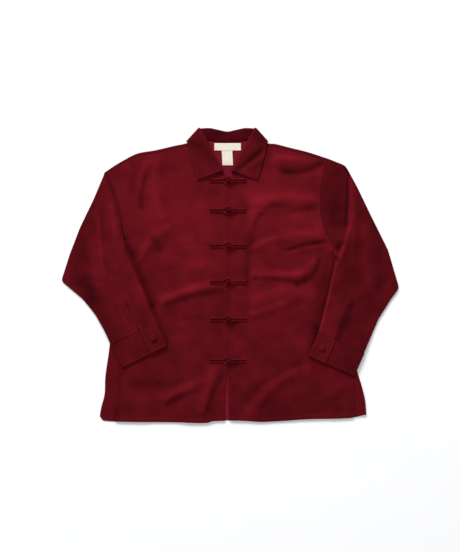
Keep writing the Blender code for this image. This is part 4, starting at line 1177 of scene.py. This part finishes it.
def build_cuff(side):
    """A band folded round on itself, its tab over its own end, and the covered button on the tab."""
    corner, across, down = cuff_frame(side)
    path = cuff_path()
    rows = []
    for depth in CUFF_ROWS:
        plan = corner + np.outer(path[:, 0], across) + down * depth
        level = path[:, 1] + sleeve_base(side, plan[:, 0], plan[:, 1])
        near_edge = bump(CUFF_DEPTH - depth - EDGE_STITCH, DRAWN_WIDTH)
        near_end = bump(CUFF_TAB - path[:, 0] - EDGE_STITCH, DRAWN_WIDTH) * (path[:, 1] > CUFF_HIGH - 0.1)
        drawn_in = DRAWN_IN * np.maximum(near_edge, near_end)
        wave = CUFF_RIPPLE * ripple(plan[:, 0] * 1.6, plan[:, 1] * 1.6 + 90) * (path[:, 1] > CUFF_MID - 0.1)
        rows.append(np.column_stack([plan, level - drawn_in + wave]))
    mid = np.array(rows)
    # The tab paler than the band as painted light, and the band darkened as painted shade
    nap = np.where(path[:, 1] > CUFF_MID + 0.1, TAB_PAINTED_LIGHT, CUFF_SHADE_TONES[side]) + 0 * mid[..., 0]
    word = WORDS[side]
    made, top, under = shell("cuff_band_" + word, mid, CUFF_WALL * 0.92, VELVET_CLOTH, nap=nap, plain=True)
    finish_cloth(made, "cuff_" + word)
    centre = corner + across * BUTTON_ACROSS + down * CUFF_DEPTH / 2
    level = float(sleeve_base(side, *centre)) + CUFF_HIGH + CUFF_WALL / 2
    build_button(word, (*centre, level))
    return higher_side(top, under)


# Shares of the button's radius and height, from its foot to its top
BUTTON_PROFILE = ((0.30, 0.0), (0.72, 0.03), (0.9, 0.1), (0.985, 0.24), (1.0, 0.38), (0.985, 0.5),
                  (0.93, 0.63), (0.84, 0.75), (0.7, 0.86), (0.5, 0.94), (0.25, 0.985))
BUTTON_TURNS = np.linspace(0, 2 * math.pi, 48, endpoint=False)


def turned(turns, profile, low, high):
    """Points and faces of a turned shape. The profile lists reaches and levels between the end levels."""
    rings = [np.column_stack([reach * np.cos(turns), reach * np.sin(turns), 0 * turns + level])
             for reach, level in profile]
    return np.vstack(rings + [[(0, 0, low)], [(0, 0, high)]]), capped_faces(len(rings), len(turns))


def build_button(word, foot):
    """A covered button: cloth drawn over a domed shell, gathered round its rim and tucked under."""
    gather = 1 + 0.012 * np.sin(BUTTON_TURNS * 9) + 0.008 * np.sin(BUTTON_TURNS * 14 + 1.3)
    profile = [(BUTTON_RADIUS * wide * (gather if high < 0.5 else 1.0), BUTTON_HEIGHT * high)
               for wide, high in BUTTON_PROFILE]
    points, faces = turned(BUTTON_TURNS, profile, 0, BUTTON_HEIGHT)
    made = add_mesh("cuff_button_cover_" + word, points + np.array(foot), faces, BUTTON_CLOTH)
    dress(made, "cuff_button_" + word)


def capped_faces(rings, around):
    """Faces between rings of points, with a point at each end. The end points come last."""
    faces = grid_squares(rings, around, True).reshape(-1, 4).tolist()
    low, high, last = rings * around, rings * around + 1, (rings - 1) * around
    for k in range(around):
        after = (k + 1) % around
        faces += [(low, after, k), (high, last + k, last + after)]
    return faces


def tube_mesh(path, radius, up, sides=12, closed=False, pressed=1.0):
    """Points and faces of a cord along a path. Up is the way out of the cloth at each point, and pressed is
    the cord's height as a share of its width."""
    run = unit(np.roll(path, -1, axis=0) - np.roll(path, 1, axis=0) if closed else np.gradient(path, axis=0))
    side = unit(np.cross(run, up))
    lift = np.cross(side, run) * pressed
    turns = np.linspace(0, 2 * math.pi, sides, endpoint=False)
    radius = np.broadcast_to(radius, len(path))
    rings = [centre + size * (np.outer(np.cos(turns), sideways) + np.outer(np.sin(turns), upwards))
             for centre, size, sideways, upwards in zip(path, radius, side, lift)]
    if closed:
        faces = grid_squares(len(path) + 1, sides, True).reshape(-1, 4) % (len(path) * sides)
        return np.vstack(rings), faces.tolist()
    return np.vstack(rings + [path[:1], path[-1:]]), capped_faces(len(path), sides)


def rounded_ends(path, radius):
    """The path with more points near its ends, and the radius at each, so that the cord ends in a dome."""
    total = length_of(path)
    tip = radius * 0.9 / total
    shares = np.concatenate([tip * np.array((0, 0.12, 0.35, 0.65)), np.linspace(tip, 1 - tip, len(path)),
                             1 - tip * np.array((0.65, 0.35, 0.12, 0))])
    sizes = np.concatenate([(0.25, 0.6, 0.85, 0.97), np.ones(len(path)), (0.97, 0.85, 0.6, 0.25)])
    return along(path, shares), radius * sizes


def front_top(x, y):
    return float(front_level(x, y)) + SHELL / 2


EYE_RADIUS = KNOT_RADIUS + SEAM + CORD_RADIUS
LEG_SPREAD = CORD_RADIUS + SEAM / 2


def cord_on_front(plan, height, radius, climb=0.0):
    """Lifts a plan line on to the front panels. Climb adds height at each point."""
    plan = np.array(plan, float) + (0, height)
    spots = plan[:, None] + np.array(((0, 0), (radius, 0), (-radius, 0), (0, radius), (0, -radius)))
    level = front_level(spots[..., 0], spots[..., 1]).max(axis=1) + SHELL / 2
    return np.column_stack([plan, level + radius * CORD_PRESSED + climb])


def loop_path(height):
    """Two cords side by side from the bar's end, opening into an eye round the knot."""
    start = [(KNOT_X - BAR_REACH, LEG_SPREAD), (KNOT_X - 34, LEG_SPREAD), (KNOT_X - 24, LEG_SPREAD),
             (KNOT_X - 15, LEG_SPREAD), (KNOT_X - EYE_RADIUS * 1.05, EYE_RADIUS * 0.52)]
    eye = [(KNOT_X + EYE_RADIUS * math.cos(a), EYE_RADIUS * math.sin(a)) for a in np.radians((120, 80, 40))]
    half = start + eye
    plan = half + [(KNOT_X + EYE_RADIUS * 1.02, 0.0)] + [(x, -y) for x, y in half[::-1]]
    return spline(cord_on_front(plan, height, CORD_RADIUS), 5)


def bar_path(height):
    """Two cords side by side from the other bar's end, over the loop and down to the knot."""
    over = 2 * CORD_RADIUS * CORD_PRESSED + SEAM
    half = [(KNOT_X + x, LEG_SPREAD) for x in (BAR_REACH, 34, 25, 19.5, 15.0, EYE_RADIUS + 1)]
    rises = [share * over for share in (0, 0, 0, 0.25, 0.9, 1)]
    end_x = KNOT_X + KNOT_RADIUS + SEAM + CORD_RADIUS
    plan = half + [(end_x, 0.0)] + [(x, -y) for x, y in half[::-1]]
    return spline(cord_on_front(plan, height, CORD_RADIUS, np.array(rises + [over] + rises[::-1])), 5)


# The knot is a woven ball: one cord three times round with four turns at each end, over a small core. The
# tilt is how far it swings up and down, in radians, and the weave how far it goes over and under itself.
KNOT_LEADS = 3
KNOT_BIGHTS = 4
KNOT_STRAND = 1.75
KNOT_CENTRE_RADIUS = 3.9
KNOT_CORE = KNOT_CENTRE_RADIUS + 0.6
KNOT_WEAVE = 0.95
KNOT_TILT = 1.02
KNOT_STEPS = 150


def knot_mesh(centre, turn):
    """A ball knot tied from one cord, and the core that fills it."""
    theta = np.linspace(0, 2 * math.pi * KNOT_LEADS, KNOT_STEPS, endpoint=False)
    phase = theta * KNOT_BIGHTS / KNOT_LEADS
    lat = KNOT_TILT * np.cos(phase)
    reach = KNOT_CENTRE_RADIUS + KNOT_WEAVE * np.sin(2 * phase)
    theta = theta + turn
    out = np.column_stack([np.cos(lat) * np.cos(theta), np.cos(lat) * np.sin(theta), np.sin(lat)])
    points, faces = tube_mesh(out * reach[:, None], KNOT_STRAND, out, sides=10, closed=True)
    profile = [(KNOT_CORE * math.cos(h), KNOT_CORE * math.sin(h))
               for h in np.linspace(-math.pi / 2, math.pi / 2, 11)[1:-1]]
    core, core_faces = turned(np.linspace(0, 2 * math.pi, 20, endpoint=False), profile, -KNOT_CORE, KNOT_CORE)
    core_faces = [tuple(k + len(points) for k in f) for f in core_faces]
    return np.vstack([points, core]) + np.array(centre), list(faces) + core_faces


def cord_piece(name, node, points, faces, nap):
    made = add_mesh(name, points, faces, KNOT_CLOTH, nap=np.broadcast_to(nap, len(points)))
    dress(made, node)


def build_closure(number, height):
    """A knot closure: the loop side, the knot side and the ball knot."""
    for word, path in (("loop", loop_path(height)), ("bar", bar_path(height))):
        path, sizes = rounded_ends(path, CORD_RADIUS)
        points, faces = tube_mesh(path, sizes, np.array([0.0, 0.0, 1.0]), pressed=CORD_PRESSED)
        # Painted shade in the groove between the two cords, darkest along their middle line
        groove_shade_mask = 1 - smooth_step((np.abs(points[:, 1] - height) - 0.3) / (1.1 * CORD_RADIUS))
        node = f"closure_{number}_{word}"
        cord_piece(node + "_cord", node, points, faces,
                   CORD_TONE + (GROOVE_PAINTED_SHADE - CORD_TONE) * groove_shade_mask)
    # The ball knot darkened as painted shade
    level = front_top(KNOT_X, height) + KNOT_RADIUS
    points, faces = knot_mesh((KNOT_X, height, level), 0.4 * number)
    cord_piece(f"closure_{number}_ball", f"closure_{number}_knot", points, faces, KNOT_PAINTED_SHADE)


def from_roll(roll, other, run):
    """The end of the roll's turn on the way to another point, one roll radius off the roll line."""
    way = unit(other - roll)
    return roll + way * ROLL_RADIUS / abs(way[0] * run[1] - way[1] * run[0])


COLLAR_STEPS = 7  # sections from one row of the collar's tables to the next
STAND_SHARES = np.linspace(0, 1, 7)
FALL_SHARES = np.concatenate([np.linspace(0, 0.88, 12), (0.91, 0.93, 0.95, 0.97, 0.985, 1.0)])


def collar_section(row, run):
    """Points of one section through the collar: up the stand, round the roll and down the fall."""
    neck, roll, edge = row[0:2], row[2:4], row[4:6]
    neck_level, stand_level, fall_level, edge_level = row[6:]
    stand_end = from_roll(roll, neck, run)
    fall_start = from_roll(roll, edge, run)
    points = []
    for t in STAND_SHARES:
        points.append((*(neck + (stand_end - neck) * t), neck_level + (stand_level - neck_level) * t))
    for angle in RING_ARCS:
        foot = stand_end if angle < 1.6 else fall_start
        level = stand_level + (fall_level - stand_level) * (1 - math.cos(angle)) / 2
        points.append((*(foot + (roll - foot) * math.sin(angle)), level))
    for t in FALL_SHARES:
        level = fall_level + (edge_level - fall_level) * smooth_step(t)
        points.append((*(fall_start + (edge - fall_start) * t), level))
    return np.array(points)


def collar_corner(over, under):
    """The section where the collar stands on edge as it turns round the shoulder, its roll a round
    corner in plan."""
    neck, roll, edge = (np.array(COLLAR_FRONT[-1][k:k + 2], float) for k in (0, 2, 4))
    up, down = unit(roll - neck), unit(edge - roll)
    half = (over[:, 2] - under[:, 2]) / 2
    start = (over[0, :2] + under[0, :2]) / 2 + np.array([up[1], -up[0]]) * half[0]
    end = (over[-1, :2] + under[-1, :2]) / 2 + np.array([-down[1], down[0]]) * half[-1]
    far, _ = np.linalg.solve(np.column_stack([up, down]), end - start)
    corner = start + up * far
    turning = math.acos(float(np.dot(up, down)))
    tangent = ROLL_RADIUS * math.tan(turning / 2)
    centre = corner - up * tangent + np.array([up[1], -up[0]]) * ROLL_RADIUS
    first = math.atan2(up[0], -up[1])
    fillet = [centre + ROLL_RADIUS * np.array([math.cos(a), math.sin(a)])
              for a in np.linspace(first, first - turning, len(RING_ARCS) + 2)]
    stand = [start + (fillet[0] - start) * t for t in STAND_SHARES[:-1]]
    fall = [fillet[-1] + (end - fillet[-1]) * t for t in FALL_SHARES[1:]]
    return np.array(stand + fillet + fall)


def collar_mid():
    """The collar's middle surface, from one front end round the back of the neck to the other."""
    halves = []
    past_centre = np.array(COLLAR_BACK[-2]) * (-1, 1, -1, 1, -1, 1, 1, 1, 1, 1)
    whole_back = spline((*COLLAR_BACK, past_centre), COLLAR_STEPS)[:-COLLAR_STEPS]
    for rows in (spline(COLLAR_FRONT, COLLAR_STEPS), whole_back):
        run = unit(np.gradient(rows[:, 2:4], axis=0))
        halves.append([collar_section(*given) for given in zip(rows, run)])
    front, back = halves
    over, under = front[-1], back[0]
    middle, half = (over + under) / 2, (over - under) / 2
    bulge = np.zeros(middle.shape)
    bulge[:, :2] = collar_corner(over, under) - middle[:, :2]
    shoulder = [middle + half * math.cos(a) + bulge * math.sin(a) for a in RING_ARCS]
    right = np.array(front + shoulder + back)
    left = right * (-1, 1, 1)
    return np.concatenate([left, right[-2::-1]])


def build_collar():
    """The collar's two plies, sewn together as one wall: stand, roll and fall."""
    mid = collar_mid()
    x, y = mid[..., 0], mid[..., 1]
    fall = np.zeros(mid.shape[1])
    fall[-len(FALL_SHARES):] = np.sin(np.linspace(0, 1, len(FALL_SHARES)) * math.pi)
    front = ramp(mid[..., 2], 3.0, 2.0)
    relief = COLLAR_RIPPLE * ripple(x * 1.5 + 40, y * 1.5) + 0.3 + fold_height(x, y, COLLAR_CREASES)
    mid[..., 2] += fall[None, :] * front * relief
    stand = np.zeros(mid.shape[1])
    stand[:len(STAND_SHARES) + 3] = 1.0
    # The stand drawn darker, and on the fall the collar's strokes of painted shade and light
    nap = np.where(stand > 0, STAND_TONE, FALL_TONE + fold_height(x, y, COLLAR_PAINTED_SHADING))
    made, top, under = shell("collar_cloth", mid, COLLAR_SHELL, VELVET_CLOTH, nap=nap, plain=True)
    finish_cloth(made, "collar")
    return higher_side(top, under)


def build_label(name, centre_x, top_y, size, lean):
    """A woven label on the inside of the back, its ends turned under and sewn down."""
    u = np.linspace(-0.5, 0.5, 41) * size[0]
    v = np.linspace(0, size[1], 19)
    x = centre_x + u[None, :] + lean * v[:, None]
    y = top_y - v[:, None] + 0 * u[None, :]
    ends = 0.25 * ramp(np.abs(u)[None, :], size[0] / 2 - 5, 1.5)
    sway = LABEL_SWAY * np.sin(u[None, :] * 0.16 + v[:, None] * 0.12 + size[1])
    level = BACK_LEVEL + neck_lift(x, y) + VELVET / 2 + SEAM + LABEL_GAP + ends + sway
    mid = np.stack([x, y, level], axis=-1)
    made, top, _ = shell(name + "_tape", mid, LABEL_SHELL, LABEL_CLOTH, plain=True)
    finish_cloth(made, name)
    return top


def stitch_tree():
    """Geometry Nodes that set a row of stitches along each line of a mesh."""
    tree = bpy.data.node_groups.new("stitch_rows", "GeometryNodeTree")

    def after(kind, links, **settings):
        """The first output of a new node."""
        return add_node(tree, kind, links, **settings).outputs[0]

    face = tree.interface
    face.new_socket("Lines", in_out="INPUT", socket_type="NodeSocketGeometry")
    for name, value in zip(("Pitch", "Stitch length", "Thread width"), STITCH):
        face.new_socket(name, in_out="INPUT", socket_type="NodeSocketFloat").default_value = value * 0.001
    face.new_socket("Stitches", in_out="OUTPUT", socket_type="NodeSocketGeometry")
    lines, pitch, long, wide = list(add_node(tree, "NodeGroupInput").outputs)[:4]
    curve = after("GeometryNodeMeshToCurve", {"Mesh": lines})
    spots = add_node(tree, "GeometryNodeCurveToPoints", {"Curve": curve, "Length": pitch},
                     mode="LENGTH").outputs
    facing = after("FunctionNodeAlignRotationToVector", {"Vector": spots["Tangent"]}, axis="X")
    ball = after("GeometryNodeMeshUVSphere", {"Segments": 6, "Rings": 5, "Radius": 0.5})
    sizes = after("ShaderNodeCombineXYZ", {"X": long, "Y": wide, "Z": wide})
    stitch = after("GeometryNodeTransform", {"Geometry": ball, "Scale": sizes})
    rows = after("GeometryNodeInstanceOnPoints",
                 {"Points": spots["Points"], "Instance": stitch, "Rotation": facing})
    rows = after("GeometryNodeSetShadeSmooth", {"Geometry": after("GeometryNodeRealizeInstances", {0: rows})})
    rows = after("GeometryNodeSetMaterial", {"Geometry": rows, "Material": THREAD})
    add_node(tree, "NodeGroupOutput", {"Stitches": rows})
    return tree


STITCH_TREE = stitch_tree()


def stitch_piece(name, lines, sizes=STITCH):
    """Rows of stitches along lines in garment millimetres, as one plain mesh."""
    points, edges = [], []
    for line in lines:
        edges += [(len(points) + k, len(points) + k + 1) for k in range(len(line) - 1)]
        points += list(line)
    mesh = bpy.data.meshes.new(name + "_lines")
    mesh.from_pydata(place(points).tolist(), edges, [])
    guide = add_object(name + "_lines", mesh)
    rows = guide.modifiers.new("stitches", "NODES")
    rows.node_group = STITCH_TREE
    given = [item.identifier for item in STITCH_TREE.interface.items_tree if item.in_out == "INPUT"]
    for key, value in zip(given[1:], sizes):
        rows[key] = value * 0.001
    bpy.context.view_layer.update()
    sewn = bpy.data.meshes.new_from_object(guide.evaluated_get(bpy.context.evaluated_depsgraph_get()))
    bpy.data.objects.remove(guide)
    sewn.name = name
    made = add_object(name, sewn)
    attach(made, "root")


def on_front(xs, ys):
    """Points of a stitched line on the fronts, sunk into the pile."""
    return np.column_stack([xs, ys, front_level(xs, ys) + SHELL / 2 + THREAD_LIFT])


def sew_fronts():
    """The hem's stitched line, right across both fronts and the strips of the back, and under the back."""
    ends = {side: side_at(side, HEM_TURN) - side * 3.0 for side in WORDS}
    for side, start in ((-1, -8.0), (1, 6.5)):
        xs = np.linspace(start, ends[side], 90)
        stitch_piece("hem_stitches_" + WORDS[side], [on_front(xs, hem_at(xs) + HEM_TURN)])
    xs = np.linspace(ends[-1], ends[1], 180)
    under = np.column_stack([xs, hem_at(xs) + HEM_TURN, 0 * xs + BACK_LEVEL - SHELL / 2])
    stitch_piece("hem_stitches_back", [under])


def raised(line, by=THREAD_LIFT):
    """The line moved up a little."""
    return np.asarray(line) + (0, 0, by)


def grid_line(grid, down, across):
    """Points of a grid at fractional row and column numbers."""
    down, across = np.broadcast_arrays(np.asarray(down, float), np.asarray(across, float))
    j = np.clip(down.astype(int), 0, grid.shape[0] - 2)
    i = np.clip(across.astype(int), 0, grid.shape[1] - 2)
    a, b = (down - j)[:, None], (across - i)[:, None]
    return ((1 - a) * (1 - b) * grid[j, i] + (1 - a) * b * grid[j, i + 1]
            + a * (1 - b) * grid[j + 1, i] + a * b * grid[j + 1, i + 1])


def inset_on_grid(line_of, start, stop):
    """The fractional number at which a line through a grid has come as far in as the stitches are."""
    numbers = np.linspace(start, stop, 60)
    points = line_of(numbers)
    gone = np.concatenate([[0], np.cumsum(np.linalg.norm(np.diff(points, axis=0), axis=1))])
    return float(np.interp(EDGE_STITCH, gone, numbers))


def sew_collar(top):
    """A line of stitches along the collar's outer edge and both front ends."""
    last = top.shape[1] - 1
    fall_first = last - len(FALL_SHARES) + 2
    front_rows = (len(COLLAR_FRONT) - 1) * COLLAR_STEPS
    for side, first in ((-1, 0), (1, len(top) - 1)):
        edge, end = [], []
        for row in first - side * np.linspace(0, front_rows, 40):
            column = inset_on_grid(lambda c: grid_line(top, row, c), last, fall_first)
            edge.append(grid_line(top, [row], [column])[0])
        for column in np.linspace(fall_first + 1.5, last, 30):
            row = inset_on_grid(lambda r: grid_line(top, r, column), first, first - side * 20)
            end.append(grid_line(top, [row], [column])[0])
        edge, end = np.array(edge), np.array(end)
        corner = end[np.argmin(np.linalg.norm(end[:, None] - edge[None], axis=2).min(axis=1))]
        lines = [raised(line[np.linalg.norm(line - start, axis=1) <= np.linalg.norm(corner - start) + 0.1])
                 for line, start in ((edge, edge[-1]), (end, end[0]))]
        stitch_piece("collar_stitches_" + WORDS[side], lines)


def sew_cuff(side, top):
    """Stitches inside the edges of the tab and along the band that shows beside it."""
    path = cuff_path()
    tab = np.arange(TAB_POINTS)
    band = np.arange(len(path) - UNDERLAP_POINTS, len(path))

    def on_cuff(ats, depths, layer):
        columns = np.interp(ats, path[layer][::-1, 0], layer[::-1])
        rows = np.interp(depths, CUFF_ROWS, np.arange(len(CUFF_ROWS)))
        return raised(grid_line(top, rows, columns), CUFF_THREAD_LIFT)

    low = CUFF_DEPTH - EDGE_STITCH
    end = CUFF_TAB - EDGE_STITCH
    ats = np.linspace(CUFF_MARGIN, end, 20)
    depths = np.linspace(CUFF_MARGIN, low, 24)
    lines = [on_cuff(ats, low, tab), on_cuff(end, depths, tab), on_cuff(ats, CUFF_MARGIN, tab)]
    rest = np.linspace(CUFF_TAB + 2, CUFF_WIDTH - CUFF_MARGIN, 30)
    lines += [on_cuff(rest, low, band), on_cuff(rest, CUFF_MARGIN, band)]
    stitch_piece("cuff_stitches_" + WORDS[side], lines)


def sew_sleeve(side, top, first):
    """Stitches beside the slit and across its upper end."""
    stations = np.arange(first - 2, len(top))
    edges = [SLIT_CELL + gap for gap in SLIT_STITCHES]
    lines = [grid_line(top, stations, edge) for edge in edges]
    lines.append(grid_line(top, first - 2.0, np.linspace(*edges, 16)))
    stitch_piece("slit_stitches_" + WORDS[side], [raised(line) for line in lines])


def sew_labels(neck, size):
    """Small stitches down the ends of the neck label and along the top of the size label."""
    lines = [raised(line, LABEL_THREAD_LIFT) for line in (neck[:, 2], neck[:, -3], size[1, 2:-2])]
    stitch_piece("label_stitches", lines, LABEL_STITCH)


# The floor's half width and its level, in metres
FLOOR_HALF = 6.0
FLOOR_LEVEL = -0.0004


def build_floor():
    """The pale surface that the shirt lies on."""
    corners = [(x * FLOOR_HALF, y * FLOOR_HALF, FLOOR_LEVEL) for x, y in ((-1, -1), (1, -1), (1, 1), (-1, 1))]
    mesh = bpy.data.meshes.new("floor")
    mesh.from_pydata(corners, [], [(0, 1, 2, 3)])
    mesh.materials.append(CARD)
    add_object("floor", mesh)


# Soft boxes: columns are name, place, target, size and power, in metres and watts
LIGHTS = (
    ("window", (-2.8, 7.35, 4.2), (0, 0, 0), (5.2, 2.8), 992),
    ("overhead", (0.1, -0.3, 2.9), (0, -0.3, 0), (2.4, 2.4), 22),
)
ROOM_STRENGTH = 0.36


def build_light():
    """One broad soft box beyond the collar, a weak one overhead, and pale light all round."""
    for name, at, target, size, power in LIGHTS:
        light = bpy.data.lights.new(name, "AREA")
        light.shape = "RECTANGLE"
        light.size, light.size_y = size
        light.energy = power
        made = add_object(name, light)
        made.location = at
        made.rotation_euler = (Vector(target) - Vector(at)).to_track_quat("-Z", "Y").to_euler()
    world = bpy.data.worlds.new("room")
    world.use_nodes = True
    sky = world.node_tree.nodes["Background"].inputs
    sky["Color"].default_value = linear(ROOM_WHITE)
    sky["Strength"].default_value = ROOM_STRENGTH
    bpy.context.scene.world = world
    bpy.context.scene.view_settings.view_transform = "Standard"


# The picture is 460 by 552 pixels, and one pixel is 2.45 mm on the shirt
PIXEL = 0.00245
PICTURE_HEIGHT = 552
PICTURE_CENTRE = (-0.0004, -0.0017)
LENS = 50.0
SENSOR = 36.0
CLOTH_LEVEL = 0.004  # level of the cloth on which a pixel has that size


def build_camera():
    """Straight above the shirt, with the photograph's frame."""
    camera = bpy.data.cameras.new("camera")
    camera.lens = LENS
    camera.sensor_width = SENSOR
    made = add_object("camera", camera)
    distance = PICTURE_HEIGHT * PIXEL * LENS / SENSOR
    made.location = (*PICTURE_CENTRE, distance + CLOTH_LEVEL)
    bpy.context.scene.camera = made


def main():
    """Camera and light first, then the cloth from the back up, then the sewing."""
    build_camera()
    build_light()
    build_floor()
    build_back()
    for side in WORDS:
        build_front(side)
        top, first = build_sleeve(side)
        sew_sleeve(side, top, first)
        sew_cuff(side, build_cuff(side))
    sew_fronts()
    sew_collar(build_collar())
    for number, height in enumerate(KNOT_HEIGHTS, start=1):
        build_closure(number, height)
    neck = build_label("neck_label", 0.8, LABEL_TOP, LABEL_SIZE, 0.0)
    size = build_label("size_label", -0.6, LABEL_TOP - LABEL_SIZE[1] - SEAM, SIZE_LABEL, 0.05)
    sew_labels(neck, size)


main()
